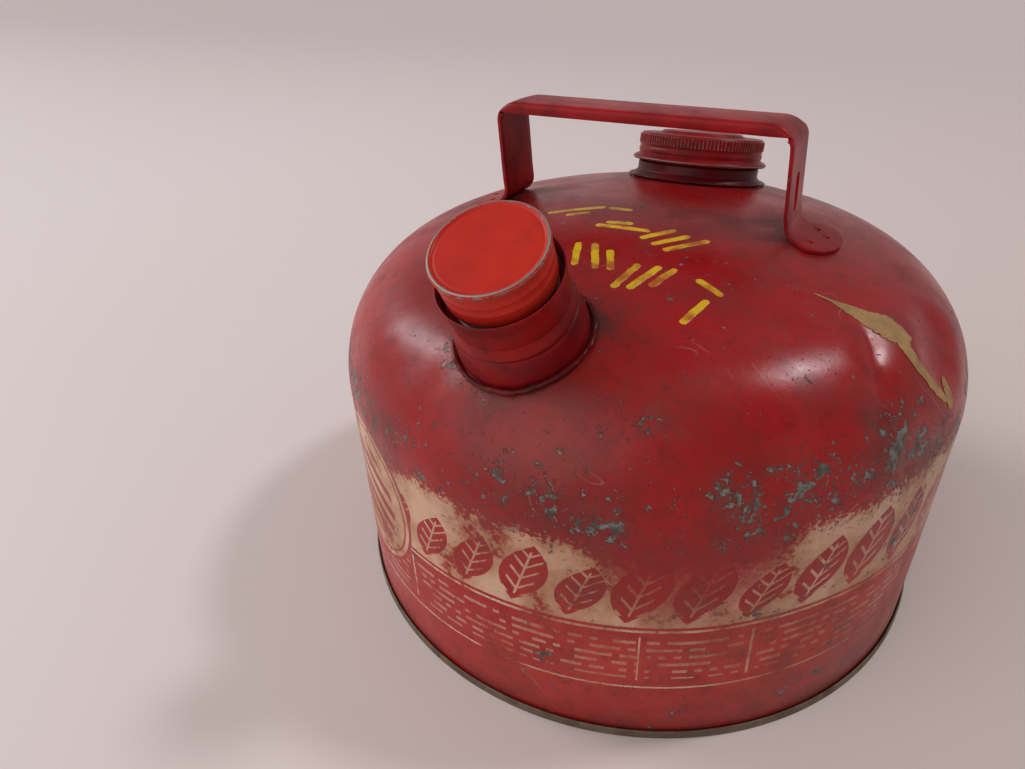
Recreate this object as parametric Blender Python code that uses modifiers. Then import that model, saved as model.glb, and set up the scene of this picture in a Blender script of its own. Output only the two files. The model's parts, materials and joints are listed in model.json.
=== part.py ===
"""A round steel fuel can with a drawn dome, a strap handle, a screw cap for filling, and a flexible
pouring spout that is stored inside its front neck.

Metres, +Z up. The origin is at the centre of the ring that the can stands on. The spout leans towards
-Y, the filler cap stands on the +Y side of the dome, and the handle runs along X.
"""

import math

import bmesh
import bpy
from mathutils import Vector

# ---------------------------------------------------------------- driving dimensions
GAP = 0.0003  # air left between neighbouring pieces
BODY_STEPS = 48  # facets round the body and its base
NECK_STEPS = 32  # facets round the necks, rings and caps
TUBE_STEPS = 16  # facets round the hose and its tip

# Body: a straight wall, a knuckle and a crown, drawn from one sheet
SHEET = 0.0009
BODY_RADIUS = 0.142
WALL_TOP_Z = 0.1096
KNUCKLE_RADIUS = 0.0532
CROWN_RADIUS = 0.3466
KNUCKLE_CENTRE_R = BODY_RADIUS - KNUCKLE_RADIUS
CROWN_CENTRE_Z = WALL_TOP_Z - math.sqrt(
    (CROWN_RADIUS - KNUCKLE_RADIUS) ** 2 - KNUCKLE_CENTRE_R**2
)
CROWN_ANGLE = math.asin(KNUCKLE_CENTRE_R / (CROWN_RADIUS - KNUCKLE_RADIUS))
WALL_BOTTOM_Z = 0.0025

# Base pan: a recessed floor whose edge folds up round the wall
SEAM_RADIUS = 0.1434
SEAM_HEIGHT = 0.0044
FLOOR_Z = 0.0065  # underside of the recessed floor
FLOOR_BEAD_R = 0.100
FLOOR_BEAD_HEIGHT = 0.0016
SEALANT_HEIGHT = 0.0010

# Handle: one bent strap with a channel-shaped grip. It leans a little to -X
HANDLE_PLACE = (-0.0060, 0.0122)  # middle of its feet
HANDLE_RACK = 0.0029  # how far the grip stands to -X of the feet
HANDLE_FOOT_Z = 0.1710
HANDLE_TOP_Z = 0.2178
HANDLE_HALF_SPAN = 0.0671  # to the outer face of a leg
HANDLE_HALF_WIDTH = 0.0137
STRAP_THICKNESS = 0.0015
GRIP_BEND_RADIUS = 0.0100
GRIP_CROWN = 0.0004
GRIP_BACK_DROP = 0.0017  # how much lower the edge towards +Y stands
FLANGE_DEPTH = 0.0048
FOOT_BEND_RADIUS = 0.0040
FOOT_LENGTH = 0.0205  # from a leg's outer face
FOOT_HALF_WIDTH = 0.0174
SLOT_CENTRE_Z = 0.1880
SLOT_LENGTH = 0.0165
SLOT_WIDTH = 0.0066

# Filler: a wide neck with a screw cap on the back of the dome
FILLER_PLACE = (-0.0026, 0.0790)
FILLER_TILT = math.asin(math.hypot(*FILLER_PLACE) / CROWN_RADIUS)
FILLER_YAW = math.atan2(-FILLER_PLACE[0], FILLER_PLACE[1])
FILLER_FOOT_RADIUS = 0.0309
FILLER_MOUTH_RADIUS = 0.0297
FILLER_FLANGE_RADIUS = 0.0333
FILLER_NECK_HEIGHT = 0.0179
FILLER_CAP_RADIUS = 0.0316
FILLER_CAP_BORE = 0.0304
FILLER_CAP_TOP = 0.0208
FILLER_CAP_BOTTOM = 0.0073
FILLER_HEM_RADIUS = 0.0342
FILLER_BOSS_RADIUS = 0.0214
FILLER_BOSS_HEIGHT = 0.0015
FILLER_HOLE_RADIUS = 0.0280

# Spout: heights are along its own axis, from the middle of its foot
SPOUT_PLACE = (-0.0079, -0.0998, 0.1587)
SPOUT_TILT = math.radians(26.0)
SPOUT_YAW = math.radians(-1.8)
SPOUT_FOOT_RADIUS = 0.0248
SPOUT_HOLE_RADIUS = 0.0228
SPOUT_SHOULDER = 0.0163
SPOUT_MOUTH = 0.0240
SPOUT_MOUTH_RADIUS = 0.0206
RING_RADIUS = 0.0230
RING_BOTTOM = 0.0167
RING_LIP = 0.0353
RING_HEM_RADIUS = 0.0237
RING_BORE = 0.0214
RING_SHOULDER = 0.0276
RING_SHOULDER_BORE = 0.0192
FLANGE_GASKET_BOTTOM = SPOUT_MOUTH + GAP
FLANGE_GASKET_TOP = 0.0258
FERRULE_FLANGE_BOTTOM = FLANGE_GASKET_TOP + GAP
FERRULE_FLANGE_TOP = 0.0273
FERRULE_FLANGE_RADIUS = 0.0208
FERRULE_RADIUS = 0.0182
FERRULE_TOP = 0.0454
SPIGOT_RADIUS = 0.0087
SPIGOT_BOTTOM = 0.0120
HOSE_RADIUS = 0.0100
HOSE_CUFF_LENGTH = 0.0138
HOSE_BOTTOM = -0.1380
HOSE_CONVOLUTIONS = 10
TIP_BOTTOM = -0.1500
SPOUT_CAP_TOP = 0.0486
SPOUT_CAP_BOTTOM = 0.0325
SPOUT_CAP_RADIUS = 0.0210
SPOUT_SKIRT_RADIUS = 0.0201
SPOUT_CAP_BORE = 0.0193

SOLDER_RADIUS = 0.0013
FILLER_SOLDER_RADIUS = 0.0009
THREAD_DEPTH = 0.0004
THREAD_LEAD = 0.0042

# Colours and finishes: base colour, roughness, metallic
RED_PAINT = ((0.33, 0.018, 0.022), 0.35, 0.0)
ORANGE_PAINT = ((0.46, 0.035, 0.025), 0.40, 0.0)
BARE_STEEL = ((0.33, 0.33, 0.29), 0.50, 0.9)
SOLDER = ((0.42, 0.42, 0.42), 0.40, 0.9)
GALVANISED = ((0.48, 0.49, 0.50), 0.45, 0.9)
RUBBER = ((0.03, 0.03, 0.03), 0.70, 0.0)


# ---------------------------------------------------------------- helpers
def new_material(name, finish):
    """A Principled material in one colour."""
    colour, roughness, metallic = finish
    material = bpy.data.materials.new(name)
    material.use_nodes = True
    shader = material.node_tree.nodes["Principled BSDF"]
    shader.inputs["Base Color"].default_value = (*colour, 1.0)
    shader.inputs["Roughness"].default_value = roughness
    shader.inputs["Metallic"].default_value = metallic
    return material


def new_collection(name):
    collection = bpy.data.collections.new(name)
    bpy.context.scene.collection.children.link(collection)
    return collection


def add_object(name, mesh, collection, finish=None, parent=None):
    """Puts a mesh in the scene, with its own material, under an empty where one is given."""
    obj = bpy.data.objects.new(name, mesh)
    collection.objects.link(obj)
    obj.parent = parent
    if finish:
        mesh.materials.append(new_material(name, finish))
        mesh.shade_smooth()
        mesh.set_sharp_from_angle(angle=math.radians(35))
    return obj


def axis_empty(name, location, tilt, yaw):
    """An empty whose Z axis leans by a turn about X, which is then turned about the vertical."""
    empty = bpy.data.objects.new(name, None)
    empty.location = location
    empty.rotation_euler = (tilt, 0.0, yaw)
    empty.empty_display_size = 0.03
    PARTS.objects.link(empty)
    return empty


def arc(centre_r, centre_z, radius, start, end, count):
    """Points on an arc in the (r, z) plane, with angles from +Z towards +r."""
    angles = [start + (end - start) * i / count for i in range(count + 1)]
    return [(centre_r + radius * math.sin(a), centre_z + radius * math.cos(a)) for a in angles]


def turned(name, profile, steps, collection, finish=None, parent=None, closed=True):
    """A turned shape. The profile runs down its outer side, and closes or ends on the axis."""
    mesh = bpy.data.meshes.new(name)
    edges = [(i, i + 1) for i in range(len(profile) - 1)]
    if closed:
        edges.append((len(profile) - 1, 0))
    mesh.from_pydata([(r, 0.0, z) for r, z in profile], edges, [])
    obj = add_object(name, mesh, collection, finish, parent)
    screw = obj.modifiers.new("Turn", "SCREW")
    screw.steps = steps
    screw.render_steps = steps
    screw.use_merge_vertices = True
    screw.merge_threshold = 0.00001
    return obj


def cutter(obj):
    """Marks an object as a tool that only cuts others."""
    obj.hide_render = True
    obj.display_type = "WIRE"
    return obj


def cut(obj, tool):
    """Takes a tool's shape away from an object."""
    difference = obj.modifiers.new("Cut " + tool.name, "BOOLEAN")
    difference.operation = "DIFFERENCE"
    difference.object = tool


def dome_z(radius, outset=0.0):
    """Height of the dome's outer face, or of one that lies outset from it, at a radius."""
    if radius < (CROWN_RADIUS + outset) * math.sin(CROWN_ANGLE):
        return CROWN_CENTRE_Z + math.sqrt((CROWN_RADIUS + outset) ** 2 - radius**2)
    return WALL_TOP_Z + math.sqrt((KNUCKLE_RADIUS + outset) ** 2 - (radius - KNUCKLE_CENTRE_R) ** 2)


def dome_profile(outset, bottom_z):
    """The body's outer face, or one that lies outset from it, from the top down."""
    crown = arc(0.0, CROWN_CENTRE_Z, CROWN_RADIUS + outset, 0.0, CROWN_ANGLE, 5)
    knuckle = arc(KNUCKLE_CENTRE_R, WALL_TOP_Z, KNUCKLE_RADIUS + outset, CROWN_ANGLE, math.pi / 2, 7)
    return crown + knuckle[1:] + [(BODY_RADIUS + outset, bottom_z)]


def on_dome(empty, radius, outset):
    """Points round an axis at a radius from it, each at the same distance from the dome's face."""
    points = []
    for step in range(NECK_STEPS):
        angle = 2 * math.pi * step / NECK_STEPS
        low, high = -0.02, 0.02
        for _ in range(30):
            middle = (low + high) / 2
            local = Vector((radius * math.cos(angle), radius * math.sin(angle), middle))
            place = empty.matrix_world @ local
            if place.z > dome_z(math.hypot(place.x, place.y), outset):
                high = middle
            else:
                low = middle
        points.append((local.x, local.y, high))
    return points


def bead(name, points, radius, finish, parent):
    """A closed round bead along points, such as a run of solder."""
    curve = bpy.data.curves.new(name, "CURVE")
    curve.dimensions = "3D"
    curve.bevel_depth = radius
    curve.bevel_resolution = 1
    spline = curve.splines.new("POLY")
    spline.points.add(len(points) - 1)
    for target, point in zip(spline.points, points):
        target.co = (*point, 1.0)
    spline.use_cyclic_u = True
    curve.materials.append(new_material(name, finish))
    obj = bpy.data.objects.new(name, curve)
    PARTS.objects.link(obj)
    obj.parent = parent
    return obj


def threaded_wall(radius, top, bottom):
    """The outer wall of a neck from the top down, with a ridge at each turn of its thread."""
    wall = [(radius, top)]
    height = top - THREAD_LEAD / 2
    while height - THREAD_LEAD / 4 > bottom:
        wall += [
            (radius, height + THREAD_LEAD / 4),
            (radius + THREAD_DEPTH, height),
            (radius, height - THREAD_LEAD / 4),
        ]
        height -= THREAD_LEAD
    return wall + [(radius, bottom)]


# ---------------------------------------------------------------- body and base
def make_body_shell():
    """Dome and wall in one, open below, with holes for the two necks."""
    inner = dome_profile(-SHEET, WALL_BOTTOM_Z)
    profile = dome_profile(0.0, WALL_BOTTOM_Z) + inner[::-1]
    shell = turned("body_shell", profile, BODY_STEPS, PARTS, RED_PAINT, closed=False)
    cut(shell, hole_tool("spout_hole", SPOUT_AXIS, SPOUT_HOLE_RADIUS))
    cut(shell, hole_tool("filler_hole", FILLER_AXIS, FILLER_HOLE_RADIUS))


def hole_tool(name, parent, radius):
    """A plug along a neck's axis."""
    mesh = bpy.data.meshes.new(name)
    plug = bmesh.new()
    bmesh.ops.create_cone(
        plug, cap_ends=True, segments=NECK_STEPS, radius1=radius, radius2=radius, depth=0.04
    )
    plug.to_mesh(mesh)
    plug.free()
    return cutter(add_object(name, mesh, TOOLS, parent=parent))


def make_base_pan():
    """Recessed floor with a raised bead, and an edge folded up round the body's wall."""
    bead_side = 4 * FLOOR_BEAD_HEIGHT
    wall_r = SEAM_RADIUS - 4 * SHEET
    channel_r = wall_r + SHEET
    corner = SHEET / 2
    top = FLOOR_Z + SHEET
    floor_top = [
        (0.0, top),
        (FLOOR_BEAD_R - bead_side, top),
        (FLOOR_BEAD_R, top + FLOOR_BEAD_HEIGHT),
        (FLOOR_BEAD_R + bead_side, top),
        (channel_r - corner, top),
        (channel_r, top - corner),
    ]
    fold = [
        (channel_r, SHEET),
        (SEAM_RADIUS - SHEET, SHEET),
        (SEAM_RADIUS - SHEET, SEAM_HEIGHT),
        (SEAM_RADIUS - corner, SEAM_HEIGHT),
        (SEAM_RADIUS, SEAM_HEIGHT - corner),
        (SEAM_RADIUS, corner),
        (SEAM_RADIUS - corner, 0.0),
        (wall_r + corner, 0.0),
        (wall_r, corner),
    ]
    floor_under = [
        (wall_r, FLOOR_Z),
        (FLOOR_BEAD_R + bead_side, FLOOR_Z),
        (FLOOR_BEAD_R, FLOOR_Z + FLOOR_BEAD_HEIGHT),
        (FLOOR_BEAD_R - bead_side, FLOOR_Z),
        (0.0, FLOOR_Z),
    ]
    profile = floor_top + fold + floor_under
    turned("base_pan", profile, BODY_STEPS, PARTS, BARE_STEEL, closed=False)


def make_seam_sealant():
    """The ring of sealing compound under the wall's edge, inside the folded seam."""
    bottom = SHEET + GAP
    top = bottom + SEALANT_HEIGHT
    outer, inner = BODY_RADIUS + GAP / 2, BODY_RADIUS - SHEET - GAP / 2
    profile = [(outer, top), (outer, bottom), (inner, bottom), (inner, top)]
    turned("seam_sealant", profile, BODY_STEPS, PARTS, RUBBER)


# ---------------------------------------------------------------- handle
def grip_stations():
    """Places along half of the grip and its bend: distance, height and depth of the folded edges."""
    bend_start = HANDLE_HALF_SPAN - GRIP_BEND_RADIUS
    bend = arc(bend_start, HANDLE_TOP_Z - GRIP_BEND_RADIUS, GRIP_BEND_RADIUS, 0.0, math.pi / 2, 6)
    stations = []
    for distance, height in [(0.0, HANDLE_TOP_Z)] + bend:
        stations.append((distance, height, max(0.0, FLANGE_DEPTH - (HANDLE_TOP_Z - height))))
    return stations


def foot_stations():
    """Places along a foot: distance, height over the dome and half width."""
    stations = []
    for step in range(4):
        angle = math.pi / 2 * step / 3
        out = HANDLE_HALF_SPAN + FOOT_BEND_RADIUS * (1 - math.cos(angle))
        stations.append((out, FOOT_BEND_RADIUS * (1 - math.sin(angle)), HANDLE_HALF_WIDTH))
    widest = HANDLE_HALF_SPAN + FOOT_LENGTH / 2
    stations.append((widest - FOOT_LENGTH / 8, 0.0, FOOT_HALF_WIDTH * 0.97))
    for step in range(6):
        angle = math.radians(80) * step / 5
        out = widest + FOOT_LENGTH / 2 * math.sin(angle) / math.sin(math.radians(80))
        stations.append((out, 0.0, FOOT_HALF_WIDTH * math.cos(angle)))
    return stations


def strap_rows(side):
    """Rows of points across the strap's upper face, from the middle of the grip to one foot's end."""
    rows = []
    for distance, height, fold in grip_stations():
        lean = HANDLE_RACK * (height - HANDLE_FOOT_Z) / (HANDLE_TOP_Z - HANDLE_FOOT_Z)
        x = HANDLE_PLACE[0] + side * distance - lean
        row = []
        for across, drop in ((-1, fold), (-1, 0), (-0.35, 0), (0.35, 0), (1, 0), (1, fold)):
            y = HANDLE_PLACE[1] + across * HANDLE_HALF_WIDTH
            edge = GRIP_CROWN if abs(across) == 1 else 0.0
            dip = edge + GRIP_BACK_DROP * (across + 1) / 2
            row.append((x, y, height - drop - dip * fold / FLANGE_DEPTH))
        rows.append(row)
    for distance, rise, half in foot_stations():
        x = HANDLE_PLACE[0] + side * distance
        row = []
        for across in (-1, -1, -0.35, 0.35, 1, 1):
            y = HANDLE_PLACE[1] + across * half
            row.append((x, y, dome_z(math.hypot(x, y)) + GAP + STRAP_THICKNESS + rise))
        rows.append(row)
    return rows


def make_handle_strap():
    """A strap with its edges folded down along the grip, and feet turned out on the dome."""
    strap = bmesh.new()
    places = strap_rows(-1)[::-1] + strap_rows(1)[1:]
    rows = [[strap.verts.new(place) for place in row] for row in places]
    for row, following in zip(rows, rows[1:]):
        for i in range(len(row) - 1):
            strap.faces.new((row[i], following[i], following[i + 1], row[i + 1]))
    bmesh.ops.remove_doubles(strap, verts=strap.verts, dist=0.00005)
    mesh = bpy.data.meshes.new("handle_strap")
    strap.to_mesh(mesh)
    strap.free()
    handle = add_object("handle_strap", mesh, PARTS, RED_PAINT)
    solidify = handle.modifiers.new("Sheet", "SOLIDIFY")
    solidify.thickness = STRAP_THICKNESS
    solidify.offset = -1.0
    solidify.use_even_offset = True
    cut(handle, slot_tool())


def slot_tool():
    """A long hole through the +X leg."""
    mesh = bpy.data.meshes.new("leg_slot")
    slot = bmesh.new()
    radius = SLOT_WIDTH / 2
    bmesh.ops.create_cone(
        slot, cap_ends=True, segments=12, radius1=radius, radius2=radius, depth=0.01
    )
    for vert in slot.verts:
        vert.co.x += math.copysign((SLOT_LENGTH - SLOT_WIDTH) / 2, vert.co.x)
    slot.to_mesh(mesh)
    slot.free()
    tool = add_object("leg_slot", mesh, TOOLS)
    tool.location = (HANDLE_PLACE[0] + HANDLE_HALF_SPAN, HANDLE_PLACE[1], SLOT_CENTRE_Z)
    tool.rotation_euler = (0.0, math.pi / 2, 0.0)
    return cutter(tool)


# ---------------------------------------------------------------- filler
def crown_sag(radius):
    """How far the crown falls away from its tangent plane, at a radius from the filler's axis."""
    return CROWN_RADIUS - math.sqrt(CROWN_RADIUS**2 - radius**2)


def make_filler_neck():
    """A flanged neck with a narrower threaded mouth."""
    bore = FILLER_FOOT_RADIUS - SHEET
    step = FILLER_CAP_BOTTOM - GAP
    flange_under = GAP - crown_sag(FILLER_FLANGE_RADIUS)
    profile = threaded_wall(FILLER_MOUTH_RADIUS, FILLER_NECK_HEIGHT, step) + [
        (FILLER_FOOT_RADIUS, step - SHEET),
        (FILLER_FOOT_RADIUS, GAP + 2 * SHEET),
        (FILLER_FOOT_RADIUS + SHEET, GAP + SHEET),
        (FILLER_FLANGE_RADIUS, flange_under + SHEET),
        (FILLER_FLANGE_RADIUS, flange_under),
        (bore, GAP - crown_sag(bore)),
        (bore, step - 2 * SHEET),
        (FILLER_MOUTH_RADIUS - SHEET, step - SHEET),
        (FILLER_MOUTH_RADIUS - SHEET, FILLER_NECK_HEIGHT),
    ]
    turned("filler_neck", profile, NECK_STEPS, PARTS, RED_PAINT, FILLER_AXIS)
    clearance = FILLER_SOLDER_RADIUS + GAP
    run = on_dome(FILLER_AXIS, FILLER_FLANGE_RADIUS + clearance, clearance)
    bead("filler_neck_solder", run, FILLER_SOLDER_RADIUS, SOLDER, FILLER_AXIS)


def make_filler_cap():
    """A pressed cap: a raised boss, a gripping band, a thread ridge and a flared hem."""
    wall = FILLER_CAP_RADIUS - FILLER_CAP_BORE
    sheet = 0.0008
    groove_r = FILLER_CAP_BORE + sheet * 0.75
    top = FILLER_CAP_TOP
    bottom = FILLER_CAP_BOTTOM
    hem = 0.0010
    profile = [
        (0.0, top + FILLER_BOSS_HEIGHT),
        (FILLER_BOSS_RADIUS - FILLER_BOSS_HEIGHT, top + FILLER_BOSS_HEIGHT),
        (FILLER_BOSS_RADIUS, top),
        (FILLER_CAP_RADIUS - wall, top),
        (FILLER_CAP_RADIUS, top - wall),
        (FILLER_CAP_RADIUS, top - 0.0062),
        (groove_r, top - 0.0068),
        (FILLER_CAP_RADIUS - 0.0002, top - 0.0080),
        (FILLER_CAP_RADIUS - 0.0002, top - 0.0092),
        (groove_r, top - 0.0104),
        (FILLER_HEM_RADIUS - hem / 2, bottom + 1.8 * hem),
        (FILLER_HEM_RADIUS, bottom + hem),
        (FILLER_HEM_RADIUS - hem / 2, bottom),
        (FILLER_CAP_BORE, bottom),
        (FILLER_CAP_BORE, top - sheet),
        (FILLER_BOSS_RADIUS - sheet, top - sheet),
        (FILLER_BOSS_RADIUS - FILLER_BOSS_HEIGHT - sheet, top + FILLER_BOSS_HEIGHT - sheet),
        (0.0, top + FILLER_BOSS_HEIGHT - sheet),
    ]
    turned("filler_cap", profile, NECK_STEPS, PARTS, RED_PAINT, FILLER_AXIS, closed=False)
    outer, inner = FILLER_MOUTH_RADIUS, FILLER_MOUTH_RADIUS - 0.0060
    low, high = FILLER_NECK_HEIGHT + GAP, top - sheet - GAP
    gasket = [(outer, high), (outer, low), (inner, low), (inner, high)]
    turned("filler_cap_gasket", gasket, NECK_STEPS, PARTS, RUBBER, FILLER_AXIS)


# ---------------------------------------------------------------- spout
def make_spout_neck():
    """A wide collar standing on the dome, with a narrower threaded mouth, and its solder."""
    bore = SPOUT_FOOT_RADIUS - SHEET
    below = -0.008
    profile = threaded_wall(SPOUT_MOUTH_RADIUS, SPOUT_MOUTH, SPOUT_SHOULDER) + [
        (SPOUT_FOOT_RADIUS - SHEET, SPOUT_SHOULDER),
        (SPOUT_FOOT_RADIUS, SPOUT_SHOULDER - SHEET),
        (SPOUT_FOOT_RADIUS, below),
        (bore, below),
        (bore, SPOUT_SHOULDER - SHEET),
        (SPOUT_MOUTH_RADIUS - SHEET, SPOUT_SHOULDER - SHEET),
        (SPOUT_MOUTH_RADIUS - SHEET, SPOUT_MOUTH),
    ]
    neck = turned("spout_neck", profile, NECK_STEPS, PARTS, RED_PAINT, SPOUT_AXIS)
    over_dome = dome_profile(GAP, WALL_TOP_Z)
    over_dome.append((0.0, WALL_TOP_Z))
    tool = turned("dome_tool", over_dome, BODY_STEPS, TOOLS, closed=False)
    cut(neck, cutter(tool))
    clearance = SOLDER_RADIUS + GAP
    run = on_dome(SPOUT_AXIS, SPOUT_FOOT_RADIUS + clearance, clearance)
    bead("spout_neck_solder", run, SOLDER_RADIUS, SOLDER, SPOUT_AXIS)


def make_spout_ring():
    """The screw ring that clamps the stored spout's flange down on the neck."""
    hem = 0.0008
    lip_bore = RING_RADIUS - 0.0008
    shoulder_top = RING_SHOULDER + 0.0012
    profile = [
        (RING_RADIUS - hem / 2, RING_LIP),
        (RING_RADIUS, RING_LIP - hem / 2),
        (RING_RADIUS, RING_BOTTOM + 3 * hem),
        (RING_HEM_RADIUS, RING_BOTTOM + 1.6 * hem),
        (RING_HEM_RADIUS, RING_BOTTOM + 0.4 * hem),
        (RING_HEM_RADIUS - hem / 2, RING_BOTTOM),
        (RING_BORE, RING_BOTTOM),
        (RING_BORE, RING_SHOULDER),
        (RING_SHOULDER_BORE, RING_SHOULDER),
        (RING_SHOULDER_BORE, shoulder_top),
        (lip_bore, shoulder_top),
        (lip_bore, RING_LIP),
    ]
    turned("spout_ring", profile, NECK_STEPS, PARTS, RED_PAINT, SPOUT_AXIS)


def make_spout_flange_gasket():
    """A washer between the neck's mouth and the stored spout's flange."""
    outer, inner = FERRULE_FLANGE_RADIUS, HOSE_RADIUS + GAP
    low, high = FLANGE_GASKET_BOTTOM, FLANGE_GASKET_TOP
    profile = [(outer, high), (outer, low), (inner, low), (inner, high)]
    turned("spout_flange_gasket", profile, NECK_STEPS, PARTS, RUBBER, SPOUT_AXIS)


def make_spout_ferrule():
    """The spout's flanged, threaded mouth, with a spigot below for the hose."""
    bore = FERRULE_RADIUS - 0.0010
    spigot_bore = SPIGOT_RADIUS - SHEET
    profile = threaded_wall(FERRULE_RADIUS, FERRULE_TOP, FERRULE_FLANGE_TOP) + [
        (FERRULE_FLANGE_RADIUS, FERRULE_FLANGE_TOP),
        (FERRULE_FLANGE_RADIUS, FERRULE_FLANGE_BOTTOM),
        (SPIGOT_RADIUS, FERRULE_FLANGE_BOTTOM),
        (SPIGOT_RADIUS, SPIGOT_BOTTOM),
        (spigot_bore, SPIGOT_BOTTOM),
        (spigot_bore, FERRULE_FLANGE_TOP),
        (bore, FERRULE_FLANGE_TOP),
        (bore, FERRULE_TOP),
    ]
    turned("spout_ferrule", profile, NECK_STEPS, PARTS, GALVANISED, SPOUT_AXIS)


def make_spout_strainer():
    """A perforated disc that lies on the ferrule's step."""
    radius = FERRULE_RADIUS - 0.0010 - GAP
    thickness = 0.0008
    bottom = FERRULE_FLANGE_TOP + GAP
    disc = bmesh.new()
    bmesh.ops.create_cone(
        disc, cap_ends=True, segments=24, radius1=radius, radius2=radius, depth=thickness
    )
    mesh = bpy.data.meshes.new("spout_strainer")
    disc.to_mesh(mesh)
    disc.free()
    strainer = add_object("spout_strainer", mesh, PARTS, GALVANISED, SPOUT_AXIS)
    strainer.location = (0.0, 0.0, bottom + thickness / 2)
    pins = bmesh.new()
    places = [(0.0, 0.0)]
    for ring in (1, 2):
        for step in range(6 * ring):
            angle = 2 * math.pi * step / (6 * ring)
            places.append((0.0062 * ring * math.cos(angle), 0.0062 * ring * math.sin(angle)))
    for x, y in places:
        made = bmesh.ops.create_cone(
            pins, cap_ends=True, segments=6, radius1=0.0018, radius2=0.0018, depth=0.004
        )
        bmesh.ops.translate(pins, verts=made["verts"], vec=(x, y, bottom + thickness / 2))
    pin_mesh = bpy.data.meshes.new("strainer_pins")
    pins.to_mesh(pin_mesh)
    pins.free()
    cut(strainer, cutter(add_object("strainer_pins", pin_mesh, TOOLS, parent=SPOUT_AXIS)))


def make_spout_hose():
    """The flexible metal hose: a convoluted tube with a plain cuff at each end."""
    wall = SHEET
    crest, valley = HOSE_RADIUS, HOSE_RADIUS - 0.0008
    top = FERRULE_FLANGE_BOTTOM - GAP
    first, last = top - HOSE_CUFF_LENGTH, HOSE_BOTTOM + HOSE_CUFF_LENGTH
    pitch = (first - last) / HOSE_CONVOLUTIONS
    outer = [(crest, top), (crest, first)]
    for turn in range(HOSE_CONVOLUTIONS):
        outer.append((valley, first - (turn + 0.5) * pitch))
        outer.append((crest, first - (turn + 1) * pitch))
    outer.append((crest, HOSE_BOTTOM))
    inner = [(r - wall, z) for r, z in reversed(outer)]
    turned("spout_hose", outer + inner, TUBE_STEPS, PARTS, GALVANISED, SPOUT_AXIS)


def make_spout_tip():
    """The plain nozzle crimped into the hose's lower cuff."""
    top = HOSE_BOTTOM + HOSE_CUFF_LENGTH - 0.002
    radius = HOSE_RADIUS - 0.0008 - SHEET - GAP
    bore = radius - SHEET
    profile = [(radius, top), (radius, TIP_BOTTOM), (bore, TIP_BOTTOM), (bore, top)]
    turned("spout_tip", profile, TUBE_STEPS, PARTS, GALVANISED, SPOUT_AXIS)


def make_spout_cap():
    """A pressed cap: a flat disc inside a raised rim, and a skirt with a thread ridge."""
    rim = 0.0014
    disc_drop = 0.0004
    sheet = 0.0009
    ridge = 0.0420
    top = SPOUT_CAP_TOP
    profile = [
        (0.0, top - disc_drop),
        (SPOUT_CAP_RADIUS - 1.6 * rim, top - disc_drop),
        (SPOUT_CAP_RADIUS - rim, top),
        (SPOUT_CAP_RADIUS - rim / 3, top),
        (SPOUT_CAP_RADIUS, top - rim / 3),
        (SPOUT_CAP_RADIUS, top - rim),
        (SPOUT_SKIRT_RADIUS, top - 1.6 * rim),
        (SPOUT_SKIRT_RADIUS, ridge + 0.0010),
        (SPOUT_SKIRT_RADIUS + 0.0004, ridge),
        (SPOUT_SKIRT_RADIUS, ridge - 0.0010),
        (SPOUT_SKIRT_RADIUS, SPOUT_CAP_BOTTOM),
        (SPOUT_CAP_BORE, SPOUT_CAP_BOTTOM),
        (SPOUT_CAP_BORE, top - sheet),
        (0.0, top - sheet - disc_drop),
    ]
    turned("spout_cap", profile, NECK_STEPS, PARTS, ORANGE_PAINT, SPOUT_AXIS, closed=False)
    outer, inner = FERRULE_RADIUS + THREAD_DEPTH, FERRULE_RADIUS - 0.0040
    low, high = FERRULE_TOP + GAP, top - sheet - disc_drop - GAP
    gasket = [(outer, high), (outer, low), (inner, low), (inner, high)]
    turned("spout_cap_gasket", gasket, NECK_STEPS, PARTS, RUBBER, SPOUT_AXIS)


# ---------------------------------------------------------------- build
for startup_object in list(bpy.data.objects):
    bpy.data.objects.remove(startup_object)
PARTS = new_collection("fuel_can")
TOOLS = new_collection("cutting_tools")
FILLER_FOOT_Z = CROWN_CENTRE_Z + CROWN_RADIUS * math.cos(FILLER_TILT)
FILLER_AXIS = axis_empty("filler_axis", (*FILLER_PLACE, FILLER_FOOT_Z), -FILLER_TILT, FILLER_YAW)
SPOUT_AXIS = axis_empty("spout_axis", SPOUT_PLACE, SPOUT_TILT, SPOUT_YAW)
bpy.context.view_layer.update()

make_body_shell()
make_base_pan()
make_seam_sealant()
make_handle_strap()
make_filler_neck()
make_filler_cap()
make_spout_neck()
make_spout_ring()
make_spout_flange_gasket()
make_spout_ferrule()
make_spout_strainer()
make_spout_hose()
make_spout_tip()
make_spout_cap()
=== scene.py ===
# %% [markdown]
# # A worn round fuel can
# The frame that this script loads holds the can's plain working pieces in metres, each in its place.
# Here every piece that shows is modelled again with finer forms, and all of them get their finishes:
# enamel that has faded and chipped, a printed band, bare zinc, solder, grime and rubber.
# Each cell makes one thing and prints what it made.

# %% The frame
import json
import math
import random

import bpy
import numpy as np
from mathutils import Matrix, Vector, noise

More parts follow.
